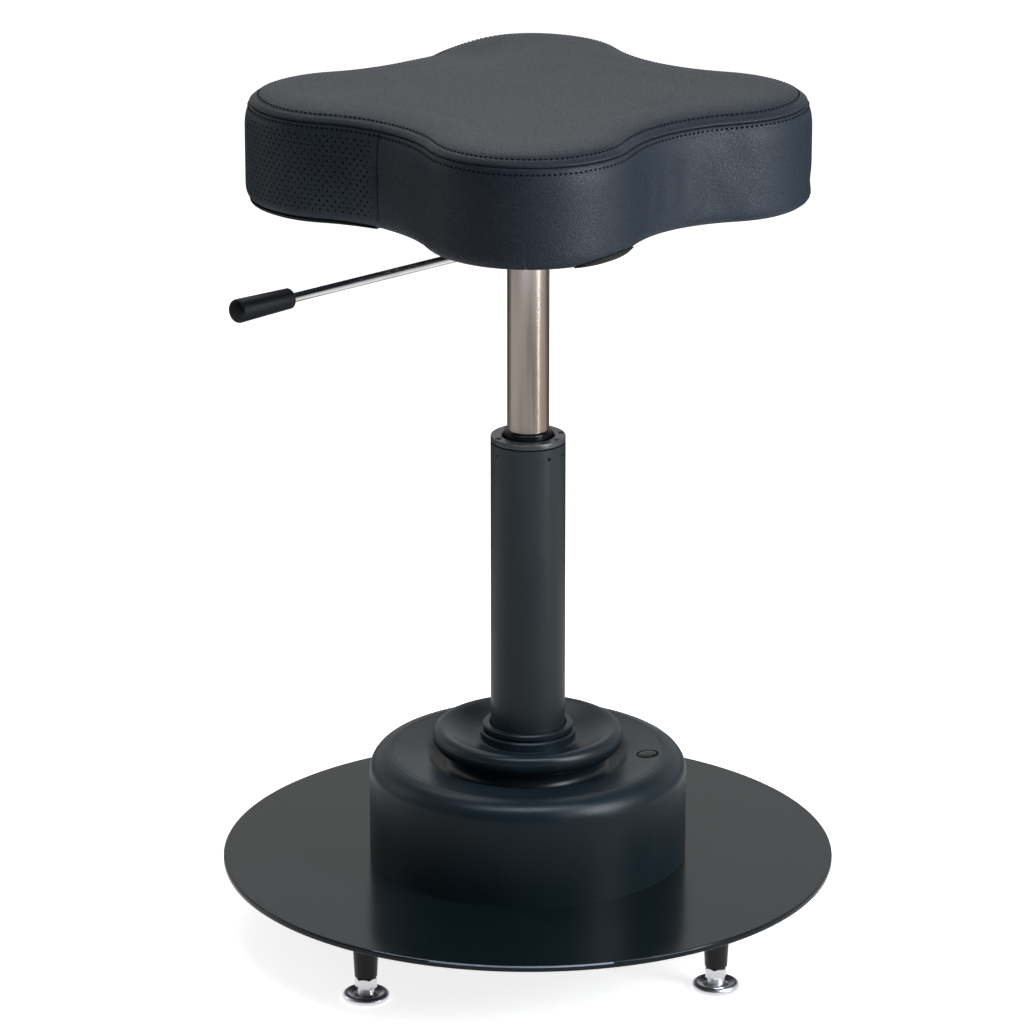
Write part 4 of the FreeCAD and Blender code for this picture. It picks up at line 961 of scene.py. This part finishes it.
    def strip_section(self, strip: HemStrip, share: float) -> list[Vector]:
        """Closed section across a hem strip at a share of its length."""
        column = strip.first + (strip.last - strip.first) * share
        swell = max(self.strip_taper, math.sin(math.pi * share) ** self.strip_power)
        low, turn, proud = self.bottom, self.edge_round, self.strip_proud
        hang = low - strip.drop * swell
        top = low + self.strip_lap + strip.rise * swell
        lean = turn - math.sqrt(max(0.0, turn ** 2 - max(0.0, low + turn - top) ** 2))
        corner, lift = self.strip_corner
        outer = [(self.strip_depth, hang), (self.strip_under, hang - proud), (corner, hang + lift)]
        outer += [(0.5 * (lean + self.strip_mid) - proud * swell, 0.5 * (top + low + lift)),
                  (lean - proud * swell, top)]
        inner = [(lean + self.strip_wall, top), (self.strip_inner, low + self.strip_lap),
                 (self.strip_depth, low + proud)]
        places = [self.outline.at(column, inset, height) for inset, height in outer + inner]
        return [place - Vector((0.0, 0.0, self.settle(place))) for place in places]

    def hem_strip(self, strip: HemStrip) -> None:
        """Lay a hem strip along the lower edge of the cover, in near-black vinyl as painted shade."""
        piece = Bench.loop(strip.name, self.strip_section(strip, 0.0))
        bpy.ops.mesh.edge_face_add()
        bpy.ops.mesh.select_mode(type="EDGE")
        bpy.ops.mesh.select_all(action="SELECT")
        for step in range(1, self.strip_steps + 1):
            Bench.extrude_loop(piece, self.strip_section(strip, step / self.strip_steps), step + 1)
        Bench.close()
        Bench.smooth(piece, 60.0)
        Bench.dress(piece, HEM_SHADE.material(self.groups))
        Bench.enlist(piece, "seat", "vinyl")

    def on_surface(self, pieces: list[Piece], inset: float, height: float) -> list[Vector]:
        """Ring of points laid on the cover at an inset and height, a little below its surface."""
        trees = [BVHTree.FromObject(piece, bpy.context.evaluated_depsgraph_get()) for piece in pieces]
        path = []
        for step in range(self.path_steps * self.outline.columns):
            place = self.outline.at(step / self.path_steps, inset, height)
            hits = [tree.find_nearest(place) for tree in trees]
            spot, normal, _, _ = min(hits, key=lambda hit: hit[3])
            path.append(spot - self.thread_sink * normal)
        return path

    def build(self) -> None:
        """Make the seat's cover and what is sewn to it."""
        cover = self.blank()
        self.fill(cover)
        self.close_top(cover)
        self.sculpt(cover)
        places, crease = self.places(), self.crease_row
        columns = [places[number] for number in Bench.values(cover, "column")]
        rows = [float(number) for number in Bench.values(cover, "row")]
        for attribute, values in (("across", columns), ("up", rows)):
            cover.data.attributes.new(attribute, "FLOAT", "POINT").data.foreach_set("value", values)
        first, last = (places.index(seam) for seam in self.seams)
        top = self.part(cover, "cover_top", lambda rows, columns: min(rows) >= crease)
        vent = self.part(cover, "cover_vent",
                         lambda rows, columns: min(columns) >= first and max(columns) <= last)
        band = Bench.named("cover_band", cover)
        for piece in (top, band, vent):
            Bench.subdivide(piece)
            Bench.apply(piece, "SOLIDIFY", thickness=self.vinyl, offset=-1.0)
        self.perforate(vent)
        Bench.subdivide(vent)
        vinyl = SLOT_FINISHES["vinyl"].material(self.groups)
        Bench.dress(top, vinyl)
        Bench.dress(band, vinyl)
        Bench.dress(vent, SLOT_FINISHES["vinyl_perforated"].material(self.groups),
                    HOLE_SHADE.material(self.groups))
        for piece, slot, nodes in ((top, "vinyl", ("top_panel", "foam_cushion")),
                                   (band, "vinyl", ("side_band",)),
                                   (vent, "vinyl_perforated", ("vent_panel",))):
            Bench.smooth(piece)
            Bench.enlist(piece, "seat", slot, *nodes)
            LOG.info("%s: %d faces", piece.name, len(piece.data.polygons))
        for strip in self.strips:
            self.hem_strip(strip)
        height = self.lip_z + self.top_stitch_rise
        self.thread("stitches_top", self.on_surface([top], self.top_stitch_inset, height))
        height = self.seam_z - self.band_stitch_drop
        self.thread("stitches_band", self.on_surface([band, vent], self.side_inset(height), height))


@dataclass
class Bellows:
    """Rubber bellows between drum and column, in three pieces that meet where the rubber bends."""

    groups: TextureGroups
    wall: float = 0.0025
    fold_wall: float = 0.0012
    flange: float = 0.0905
    flange_z: float = 0.12890
    flange_edge: float = 0.0004
    slope: tuple[Point, ...] = (
        (0.0840, 0.12835), (0.0780, 0.12790), (0.0740, 0.12762), (0.0710, 0.12738), (0.0692, 0.12708),
        (0.0678, 0.12645), (0.0663, 0.12525), (0.0648, 0.12380), (0.0632, 0.12250), (0.0616, 0.12145))
    valley: tuple[Point, ...] = ((0.0600, 0.1206), (0.0575, 0.1194))
    valley_side: Point = (0.0640, 0.12300)
    under: tuple[Point, ...] = ((0.0675, 0.1228), (0.0687, 0.12505), (0.0715, 0.12640), (0.0780, 0.12745))
    neck: float = 0.0500
    neck_z: float = 0.1187
    neck_round: float = 0.0050
    bend_z: float = 0.12375
    rim: float = 0.0643
    rim_z: float = 0.1410
    rim_under: float = 0.0110
    rim_top: float = 0.0055
    rim_foot: tuple[Point, ...] = ((0.0, -0.002), (0.0006, -0.0006), (0.002, 0.0))
    dish: tuple[Point, ...] = ((0.0555, 0.1455), (0.051, 0.1432), (0.044, 0.1402), (0.038, 0.1383),
                               (0.0345, 0.1377))
    dish_z: float = 0.1375
    dish_under: Point = (0.051, 0.1407)
    collar: float = 0.0320
    collar_z: float = 0.1445
    groove_z: float = 0.1452
    groove: float = 0.0288
    lip: float = 0.0304
    lip_z: float = 0.1495
    bore: float = 0.0253
    edge: float = 0.0009
    steps: int = 128

    def foot_section(self) -> list[Point]:
        """Lip in the drum's mouth and the valley inside it."""
        fold = (self.neck + self.neck_round, self.neck_z)
        flange = [(self.flange, self.flange_z - self.flange_edge), (self.flange, self.flange_z)]
        inner = [fold, *reversed(self.valley), self.valley_side]
        below = [(radius, height - self.fold_wall) for radius, height in inner]
        return [*flange, *self.slope, *self.valley, fold, *below, *self.under]

    def neck_section(self) -> list[Point]:
        """Round foot of the neck up to the middle of the bend."""
        centre = (self.neck + self.neck_round, self.neck_z + self.neck_round)
        bend = [(self.neck, self.bend_z), (self.neck - self.fold_wall, self.bend_z)]
        inner = Bench.arc(centre, self.neck_round + self.fold_wall, 180.0, 270.0, 6)
        return Bench.arc(centre, self.neck_round, 270.0, 180.0, 6) + bend + inner

    def crown_section(self) -> list[Point]:
        """Upper neck, wide rim, dish, collar and lip round the column."""
        under, over = (self.rim - self.rim_under, self.rim_z), (self.rim - self.rim_top, self.rim_z)
        low, edge = self.rim_z - self.rim_under, self.edge
        outer = [(self.neck, self.bend_z)]
        outer += [(self.neck + out, low + up) for out, up in self.rim_foot]
        outer += Bench.arc(under, self.rim_under, -90.0, 0.0, 10)
        outer += Bench.arc(over, self.rim_top, 0.0, 90.0, 8)[1:]
        outer += self.dish
        outer += [(self.collar + edge, self.dish_z + 0.3 * edge), (self.collar, self.dish_z + edge)]
        outer += [(self.collar, self.collar_z - edge), (self.collar - edge, self.collar_z)]
        outer += [(self.groove, self.collar_z), (self.groove, self.groove_z)]
        outer += [(self.lip - edge, self.groove_z), (self.lip, self.groove_z + edge)]
        outer += [(self.lip, self.lip_z - edge), (self.lip - edge, self.lip_z)]
        outer += [(self.bore + edge, self.lip_z), (self.bore, self.lip_z - edge)]
        floor = self.dish_z - self.wall
        inner = [(self.bore, floor), (self.collar, floor), self.dish_under]
        inner += Bench.arc(over, self.rim_top - self.wall, 90.0, 0.0, 6)
        inner += Bench.arc(under, self.rim_under - self.wall, 0.0, -90.0, 8)[1:]
        inner += [(self.neck - self.wall, low + self.wall), (self.neck - self.fold_wall, self.bend_z)]
        return outer + inner

    def build(self) -> None:
        """Turn the three pieces, and tie the foot to the base."""
        rubber = SLOT_FINISHES["boot_rubber"].material(self.groups)
        sections = (("bellows_foot", self.foot_section()), ("bellows_neck", self.neck_section()),
                    ("bellows_crown", self.crown_section()))
        made = {}
        for name, section in sections:
            made[name] = Bench.lathe(name, section, self.steps)
            Bench.dress(made[name], rubber)
            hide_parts("bellows_boot")
            LOG.info("%s: %d faces", name, len(made[name].data.polygons))
        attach(made["bellows_foot"], "base")
        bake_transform(made["bellows_neck"])
        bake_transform(made["bellows_crown"])


@dataclass
class Buffer:
    """Rubber ring under the column's hub, in two pieces that meet at the height of the tilt axes."""

    groups: TextureGroups
    inner: float = 0.041
    pivot_z: float = 0.087
    rows: int = 6
    steps: int = 96

    def build(self) -> None:
        """Turn both pieces."""
        low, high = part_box("centering_buffer")
        rubber = SLOT_FINISHES["inner_rubber"].material(self.groups)
        for name, bodies, bottom, top in (("buffer_lower", ("base", "cross"), low.z, self.pivot_z),
                                          ("buffer_upper", ("cross", "column"), self.pivot_z, high.z)):
            heights = [bottom + (top - bottom) * row / self.rows for row in range(self.rows + 1)]
            section = [(high.x, height) for height in heights]
            section += [(self.inner, height) for height in reversed(heights)]
            piece = Bench.lathe(name, section, self.steps)
            Bench.dress(piece, rubber)
            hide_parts("centering_buffer")
            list(bodies)
            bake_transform(piece)


@dataclass
class DiscPlate:
    """Thin base disc with a rounded edge, and a painted highlight along its front edge."""

    groups: TextureGroups
    edge: float = 0.0009
    edge_segments: int = 3
    steps: int = 256
    highlight_span: tuple[float, float] = (-0.100, 0.057)
    highlight_taper: float = 0.035
    highlight_slopes: tuple[float, float] = (0.2, 0.97)
    taper_slope: float = 0.8
    flat_slope: float = 0.999

    def build(self) -> None:
        """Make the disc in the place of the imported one."""
        low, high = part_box("base_disc")
        depth = high.z - low.z
        Bench.alone()
        bpy.ops.mesh.primitive_cylinder_add(vertices=self.steps, radius=high.x, depth=depth,
                                            location=(0.0, 0.0, 0.5 * (low.z + high.z)))
        plate = Bench.named("disc_plate")
        bpy.ops.object.transform_apply()
        Bench.choose(plate, "EDGE", lambda edge: abs(edge.verts[0].co.z - edge.verts[1].co.z) < 0.5 * depth)
        bpy.ops.mesh.bevel(offset=self.edge, segments=self.edge_segments)
        Bench.choose(plate, "FACE", lambda face: abs(face.normal.z) > self.flat_slope)
        bpy.ops.mesh.inset(thickness=self.edge)
        bpy.ops.object.mode_set(mode="OBJECT")
        # Faces of the front edge's rounding take the second material, a light bluish painted highlight.
        for face in plate.data.polygons:
            slope = face.normal.z
            start = self.highlight_span[0] + (self.highlight_taper if slope < self.taper_slope else 0.0)
            front = face.center.y < 0.0 and start < face.center.x < self.highlight_span[1]
            face.material_index = int(front and self.highlight_slopes[0] < slope < self.highlight_slopes[1])
        Bench.smooth(plate, 30.0)
        Bench.dress(plate, SLOT_FINISHES["base_paint"].material(self.groups), EDGE_HIGHLIGHT.material(self.groups))
        Bench.enlist(plate, "base", "base_paint", "base_disc")


@dataclass
class ColumnTop:
    """End of the guide bush with its slots, the wiper round the cylinder, and the tube's crimp pits, with
    painted shade in the bush's gap and slots and on the pits' floors.
    """

    groups: TextureGroups
    tube_top: float = 0.3475
    top: float = 0.3520
    radius: float = 0.0250
    bore: float = 0.0176
    shaft: float = 0.0142
    collar: float = 0.0160
    collar_rise: float = 0.0044
    seat: float = 0.0222
    foot: float = 0.0015
    seam: float = 0.0008
    chamfer: float = 0.0007
    wiper_drop: tuple[float, float, float] = (0.0012, 0.0006, 0.0002)
    slot_inner: float = 0.0202
    slot_outer: float = 0.0238
    slot_depth: float = 0.0016
    slot_half: float = 6.5
    slots: tuple[float, ...] = (-34.0, 8.0, 86.0, 128.0, 206.0, 248.0)
    pits: tuple[float, ...] = (-56.0, -26.0, 64.0, 94.0)
    pit_drop: float = 0.0065
    pit_radius: float = 0.0013
    pit_depth: float = 0.0003
    steps: int = 120

    def bush(self) -> Piece:
        """Bush ring with a shadow gap above the tube, and slots sunk into its top."""
        low, edge, gap = self.tube_top - self.foot, self.chamfer, self.radius - self.seam
        ring = Bench.lathe("bush_ring", [
            (self.seat, self.tube_top), (gap, self.tube_top), (gap, self.tube_top + self.seam),
            (self.radius, self.tube_top + 1.3 * self.seam), (self.radius, self.top - edge),
            (self.radius - 0.3 * edge, self.top - 0.3 * edge), (self.radius - edge, self.top),
            (self.slot_outer, self.top), (self.slot_inner, self.top), (self.bore + edge, self.top),
            (self.bore, self.top - edge), (self.bore, low), (self.seat, low),
        ], self.steps)
        slotted = set()
        for face in ring.data.polygons:
            across = math.hypot(face.center.x, face.center.y)
            angle = math.degrees(math.atan2(face.center.y, face.center.x))
            off = min(abs((angle - slot + 180.0) % 360.0 - 180.0) for slot in self.slots)
            if face.normal.z > 0.9 and self.slot_inner < across < self.slot_outer and off < self.slot_half:
                slotted.add(face.index)
            # Faces in the shadow gap and on the slot floors take the second material, near-black painted
            # shade.
            shaded = across > self.seat and face.center.z < self.tube_top + self.seam
            face.material_index = int(shaded or face.index in slotted)
        Bench.choose(ring, "FACE", lambda face: face.index in slotted)
        bpy.ops.mesh.extrude_region_move(TRANSFORM_OT_translate={"value": (0.0, 0.0, -self.slot_depth)})
        bpy.ops.object.mode_set(mode="OBJECT")
        return ring

    def wiper(self) -> Piece:
        """Rubber collar that wipes the cylinder."""
        low, outer, high = (self.tube_top - drop for drop in self.wiper_drop)
        tip, edge = self.top + self.collar_rise, self.chamfer
        return Bench.lathe("wiper_ring", [
            (self.shaft, low), (self.shaft, tip), (self.shaft + 0.5 * edge, tip),
            (self.collar - edge, tip - 0.6 * edge), (self.collar - 0.3 * edge, tip - 1.5 * edge),
            (self.collar, tip - 2.5 * edge), (self.collar, high), (self.bore, outer), (self.bore, low),
        ], self.steps)

    def pit(self, angle: float) -> Piece:
        """Disc of near-black painted shade on the floor of one crimp pit."""
        Bench.alone()
        bpy.ops.mesh.primitive_cylinder_add(vertices=16, radius=self.pit_radius, depth=self.pit_depth)
        pit = Bench.named(f"crimp_pit_shade_{round(angle) % 360}")
        turn = math.radians(angle)
        out = Vector((math.cos(turn), math.sin(turn), 0.0))
        centre = (self.radius - self.pit_depth) * out + Vector((0.0, 0.0, self.tube_top - self.pit_drop))
        pit.data.transform(Matrix.Translation(centre) @ out.to_track_quat("Z", "Y").to_matrix().to_4x4())
        return pit

    def build(self) -> None:
        """Make the bush, the wiper and the pits, all on the column."""
        painted_shade = HOLE_SHADE.material(self.groups)
        bush = self.bush()
        Bench.dress(bush, SLOT_FINISHES["bush_plastic"].material(self.groups), painted_shade)
        Bench.enlist(bush, "column", "bush_plastic", "guide_bush")
        wiper = self.wiper()
        Bench.dress(wiper, WIPER.material(self.groups))
        Bench.enlist(wiper, "column", "inner_rubber")
        for angle in self.pits:
            pit = self.pit(angle)
            Bench.dress(pit, painted_shade)
            Bench.enlist(pit, "column", "column_paint")


@dataclass
class Grip:
    """Plastic grip on the lever, as distances along the lever from the column's axis."""

    groups: TextureGroups
    azimuth: float = 225.0
    rise: float = 0.9
    packed_middle: float = 0.2345
    start: float = 0.2140
    end: float = 0.2600
    small: float = 0.00665
    large: float = 0.00765
    hole: float = 0.0040
    core: float = 0.0003
    plug: float = 0.004
    rounding: float = 0.0028
    crown: tuple[float, float] = (0.0004, 0.0005)
    edge: float = 0.0004
    steps: int = 64

    def build(self) -> None:
        """Turn the grip and lay it along the lever."""
        tip = (self.large - self.rounding, self.end - self.rounding)
        section = [(self.hole, self.start), (self.small - self.edge, self.start),
                   (self.small, self.start + self.edge)]
        section += Bench.arc(tip, self.rounding, 0.0, 90.0, 8)
        section += [(0.4 * self.large, self.end + self.crown[0]), (self.core, self.end + self.crown[1])]
        section += [(self.core, self.end - self.plug), (self.hole, self.end - self.plug)]
        grip = Bench.lathe("grip_sleeve", section, self.steps)
        low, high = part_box("lever_grip")
        turn, rise = math.radians(self.azimuth), math.radians(self.rise)
        along = Vector((math.cos(turn) * math.cos(rise), math.sin(turn) * math.cos(rise), math.sin(rise)))
        place = Matrix.Translation(0.5 * (low + high) - self.packed_middle * along)
        grip.data.transform(place @ along.to_track_quat("Z", "Y").to_matrix().to_4x4())
        Bench.dress(grip, SLOT_FINISHES["grip_plastic"].material(self.groups))
        Bench.enlist(grip, "lever", "grip_plastic", "lever_grip")


@dataclass
class VentCap:
    """Round rubber cap in the drum's top, with a near-black ring of painted shade in the joint round it."""

    groups: TextureGroups
    radius: float = 0.0062
    core: float = 0.0003
    crown: float = 0.00028
    rim: tuple[Point, ...] = ((0.6, 0.00026), (0.93, 0.00016), (1.0, -0.0001))
    joint: float = 0.0013
    joint_rise: tuple[float, float] = (0.00004, 0.00012)
    sink: float = 0.0008
    surface: float = 0.12818
    slope: float = 4.8
    steps: int = 48

    def build(self) -> None:
        """Turn the cap and its joint and lean both with the drum's top."""
        low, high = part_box("vent_plug")
        centre = 0.5 * (low + high)
        turn = math.atan2(centre.y, centre.x)
        lean = Matrix.Rotation(turn, 4, "Z") @ Matrix.Rotation(-math.radians(self.slope), 4, "Y")
        place = Matrix.Translation((centre.x, centre.y, self.surface)) @ lean
        edge, outer, floor = self.radius, self.radius + self.joint, -self.sink
        dome = [(self.core, self.crown), *((share * edge, height) for share, height in self.rim)]
        cap = Bench.lathe("vent_cap", dome + [(edge, floor), (self.core, floor)], self.steps)
        inside, outside = self.joint_rise
        gap = Bench.lathe("vent_joint_shade", [(edge, inside), (outer, outside), (outer, floor), (edge, floor)],
                          self.steps)
        Bench.dress(cap, WIPER.material(self.groups))
        # The joint ring is near-black painted shade in the gap round the cap.
        Bench.dress(gap, HOLE_SHADE.material(self.groups))
        for piece in (cap, gap):
            piece.data.transform(place)
        Bench.enlist(cap, "base", "boot_rubber", "vent_plug")
        Bench.enlist(gap, "base", "boot_rubber")


@dataclass
class Underside:
    """Black cloth under the seat, and the staples that hold the cover's hem to the board."""

    groups: TextureGroups
    outline: Clover = field(default_factory=Clover)
    cloth_inset: float = 0.0355
    cloth_z: float = 0.51640
    cloth: float = 0.0004
    sag: float = 0.0012
    sag_over: float = 0.012
    edge_over: float = 0.010
    fold_scale: float = 30.0
    plate_half: float = 0.078
    rings: tuple[float, ...] = (0.985, 0.94, 0.88, 0.80, 0.70, 0.58, 0.44, 0.28, 0.12)
    staple_inset: float = 0.0270
    staple_pitch: float = 0.0155
    staple_length: float = 0.0105
    staple_wire: float = 0.0007
    hem_z: float = 0.5158

    def height(self, x: float, y: float) -> float:
        """Height of the cloth: flat over the plate, and sagging in soft folds beyond it."""
        beyond = max(0.0, (abs(x) + abs(y)) / math.sqrt(2.0) - self.plate_half)
        edge = self.outline.depth(x, y) - self.cloth_inset
        free = min(1.0, beyond / self.sag_over) * min(1.0, max(0.0, edge / self.edge_over))
        fold = 0.5 + 0.5 * noise.noise((self.fold_scale * x, self.fold_scale * y, 1.0))
        return self.cloth_z - self.sag * free * fold

    def sheet(self) -> None:
        """Stretch the cloth below the board."""
        columns = [float(column) for column in range(self.outline.columns)]
        edge = self.outline.ring(columns, self.cloth_inset, self.cloth_z)
        piece = Bench.loop("under_cloth", edge)
        Bench.fill_in(piece, edge, self.rings, self.height, 2)
        Bench.apply(piece, "SOLIDIFY", thickness=self.cloth, offset=0.0)
        Bench.smooth(piece, 40.0)
        Bench.dress(piece, SLOT_FINISHES["dust_cloth"].material(self.groups))
        Bench.enlist(piece, "seat", "dust_cloth", "dust_cover")

    def staples(self) -> None:
        """Row of staples through the hem."""
        Bench.alone()
        bpy.ops.mesh.primitive_cube_add(size=1.0)
        staple = Bench.named("staples")
        bpy.ops.object.mode_set(mode="EDIT")
        bpy.ops.transform.resize(value=(self.staple_length, self.staple_wire, self.staple_wire))
        bpy.ops.mesh.subdivide(number_cuts=2)
        bpy.ops.object.mode_set(mode="OBJECT")
        path = [self.outline.at(step / 2.0, self.staple_inset, self.hem_z)
                for step in range(2 * self.outline.columns)]
        Bench.row_of(staple, path, self.staple_pitch)
        Bench.dress(staple, STAPLE_WIRE.material(self.groups))
        Bench.enlist(staple, "seat", "zinc")

    def build(self) -> None:
        """Make the cloth and the staples."""
        self.sheet()
        self.staples()


@dataclass(frozen=True)
class Lamp:
    """A square soft lamp that points at a height on the stool's axis."""

    name: str
    azimuth: float
    elevation: float
    distance: float
    width: float
    height: float
    power: float
    colour: Colour = (1.0, 1.0, 1.0)
    target_z: float = 0.3

    def build(self) -> None:
        """Place the lamp, azimuth from the front (-Y) towards the right (+X), in degrees."""
        light = bpy.data.lights.new(self.name, "AREA")
        light.shape = "RECTANGLE"
        light.size, light.size_y = self.width, self.height
        light.energy = self.power
        light.color = self.colour
        lamp = bpy.data.objects.new(self.name, light)
        a, e = math.radians(self.azimuth), math.radians(self.elevation)
        back = Vector((math.sin(a) * math.cos(e), -math.cos(a) * math.cos(e), math.sin(e)))
        lamp.location = Vector((0.0, 0.0, self.target_z)) + self.distance * back
        lamp.rotation_euler = back.to_track_quat("Z", "Y").to_euler()
        lamp.visible_camera = False
        bpy.context.scene.collection.objects.link(lamp)


@dataclass
class Studio:
    """Camera, lamps, white surroundings and floor."""

    camera_place: tuple[float, float, float] = (-0.0107, -3.60636, 1.49528)
    camera_pitch: float = 18.37
    camera_far: float = 200.0
    focal_length: float = 200.5
    sensor: float = 36.0
    ambient: float = 0.28
    front_fade: tuple[float, float] = (-0.7, 0.5)
    front_level: float = 0.09
    back_level: float = 0.72
    top_fade: tuple[float, float] = (0.40, 0.75)
    top_level: float = 0.20
    floor_side: float = 60.0
    floor_white: float = 0.80
    floor_glow: float = 0.80
    floor_front: float = 0.36
    floor_near: float = 1.00
    floor_back: float = 0.10
    floor_beside: float = 0.72
    floor_front_fade: tuple[float, float] = (-1.4, -0.3)
    floor_back_fade: tuple[float, float] = (0.25, 0.8)
    floor_side_fade: tuple[float, float] = (0.7, 1.4)
    lamps: tuple[Lamp, ...] = (
        Lamp("key_right", 56.0, 22.0, 1.0, 0.5, 0.6, 14.0, (0.93, 0.97, 1.0)),
        Lamp("top_back", 196.0, 62.0, 1.3, 1.0, 0.8, 7.0),
        Lamp("soft_front", 10.0, 68.0, 2.2, 1.4, 0.35, 17.0, (0.74, 0.85, 1.0)),
        Lamp("low_front", 2.0, 60.0, 0.44, 0.50, 0.05, 1.1, (0.78, 0.88, 1.0), 0.09),
        Lamp("fill_left", -105.0, 18.0, 2.8, 0.9, 1.8, 5.0),
        Lamp("strip_right", 58.0, -4.0, 1.1, 0.07, 0.36, 1.2),
    )

    def build(self) -> None:
        """Set up everything round the stool."""
        scene = bpy.context.scene
        scene.view_settings.view_transform = "Standard"
        data = bpy.data.cameras.new("camera")
        data.lens = self.focal_length
        data.sensor_width = self.sensor
        data.clip_end = self.camera_far
        camera = bpy.data.objects.new("camera", data)
        camera.location = self.camera_place
        camera.rotation_euler = Euler((math.radians(90.0 - self.camera_pitch), 0.0, 0.0))
        scene.collection.objects.link(camera)
        scene.camera = camera
        self.surroundings()
        self.floor()
        for lamp in self.lamps:
            lamp.build()

    @staticmethod
    def rays(web: Web) -> tuple[Socket, Socket]:
        """Whether a ray comes from the camera, and whether it was mirrored or refracted."""
        paths = web.add("ShaderNodeLightPath").outputs
        bounced = web.math("MAXIMUM", paths["Is Glossy Ray"], paths["Is Transmission Ray"])
        return paths["Is Camera Ray"], bounced

    def surroundings(self) -> None:
        """White where it is seen, a graded light where it is mirrored, and a plain soft light elsewhere."""
        world = bpy.data.worlds.new("studio")
        world.use_nodes = True
        bpy.context.scene.world = world
        web = Web(world.node_tree)
        direction = web.add("ShaderNodeTexCoord").outputs["Generated"]
        axes = web.add("ShaderNodeSeparateXYZ", {0: direction}).outputs
        backwards = web.ramp(axes["Y"], *self.front_fade, self.front_level, self.back_level)
        upwards = web.ramp(axes["Z"], *self.top_fade, 1.0, self.top_level)
        mirrored = web.math("MULTIPLY", backwards, upwards)
        seen, bounced = self.rays(web)
        share = web.math("MULTIPLY", bounced, web.math("SUBTRACT", mirrored, self.ambient))
        strength = web.math("MAXIMUM", seen, web.math("ADD", share, self.ambient))
        sky = web.add("ShaderNodeBackground", {"Color": (1.0, 1.0, 1.0, 1.0), "Strength": strength})
        web.add("ShaderNodeOutputWorld", {"Surface": sky.outputs[0]})

    def floor(self) -> None:
        """Pale floor that keeps the stool's shadow and is white where nothing shades it."""
        Bench.alone()
        bpy.ops.mesh.primitive_plane_add(size=self.floor_side)
        floor = Bench.named("studio_floor")
        material = bpy.data.materials.new("studio_floor")
        material.use_nodes = True
        web = Web(material.node_tree)
        white = (self.floor_white, self.floor_white, self.floor_white, 1.0)
        matt = web.add("ShaderNodeBsdfDiffuse", {"Color": white})
        seen, bounced = self.rays(web)
        glow = web.add("ShaderNodeEmission", {"Strength": web.math("MULTIPLY", seen, self.floor_glow)})
        pale = web.add("ShaderNodeAddShader", {0: matt.outputs[0], 1: glow.outputs[0]})
        place = web.add("ShaderNodeTexCoord").outputs["Object"]
        axes = web.add("ShaderNodeSeparateXYZ", {0: place}).outputs
        front = web.ramp(axes["Y"], *self.floor_front_fade, self.floor_front, self.floor_near)
        back = web.ramp(axes["Y"], *self.floor_back_fade, 1.0, self.floor_back)
        beside = web.ramp(web.math("ABSOLUTE", axes["X"]), *self.floor_side_fade, 1.0, self.floor_beside)
        level = web.math("MULTIPLY", web.math("MULTIPLY", front, back), beside)
        image = web.add("ShaderNodeEmission", {"Strength": level})
        both = web.add("ShaderNodeMixShader", {0: bounced, 1: pale.outputs[0], 2: image.outputs[0]})
        web.add("ShaderNodeOutputMaterial", {"Surface": both.outputs[0]})
        Bench.dress(floor, material)


@dataclass
class Frame:
    """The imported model's own pieces, each in the finish of its material slot."""

    groups: TextureGroups
    packed: dict

    def dress(self) -> None:
        """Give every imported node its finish."""
        made = {slot: finish.material(self.groups) for slot, finish in SLOT_FINISHES.items()}
        for part in self.packed["record"]["subparts"]:
            node = self.packed["nodes"][part["node"]]
            Bench.dress(node, made[part["material_slot"]])
            LOG.info("%s in %s", part["node"], part["material_slot"])


def main() -> None:
    """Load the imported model, dress it, add the soft pieces and set up the studio."""
    logging.basicConfig(level=logging.INFO, format="%(name)s: %(message)s")
    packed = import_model()
    groups = TextureGroups()
    Frame(groups, packed).dress()
    Seat(groups).build()
    Underside(groups).build()
    Bellows(groups).build()
    Buffer(groups).build()
    DiscPlate(groups).build()
    ColumnTop(groups).build()
    Grip(groups).build()
    VentCap(groups).build()
    Studio().build()


if __name__ == "__main__":
    main()
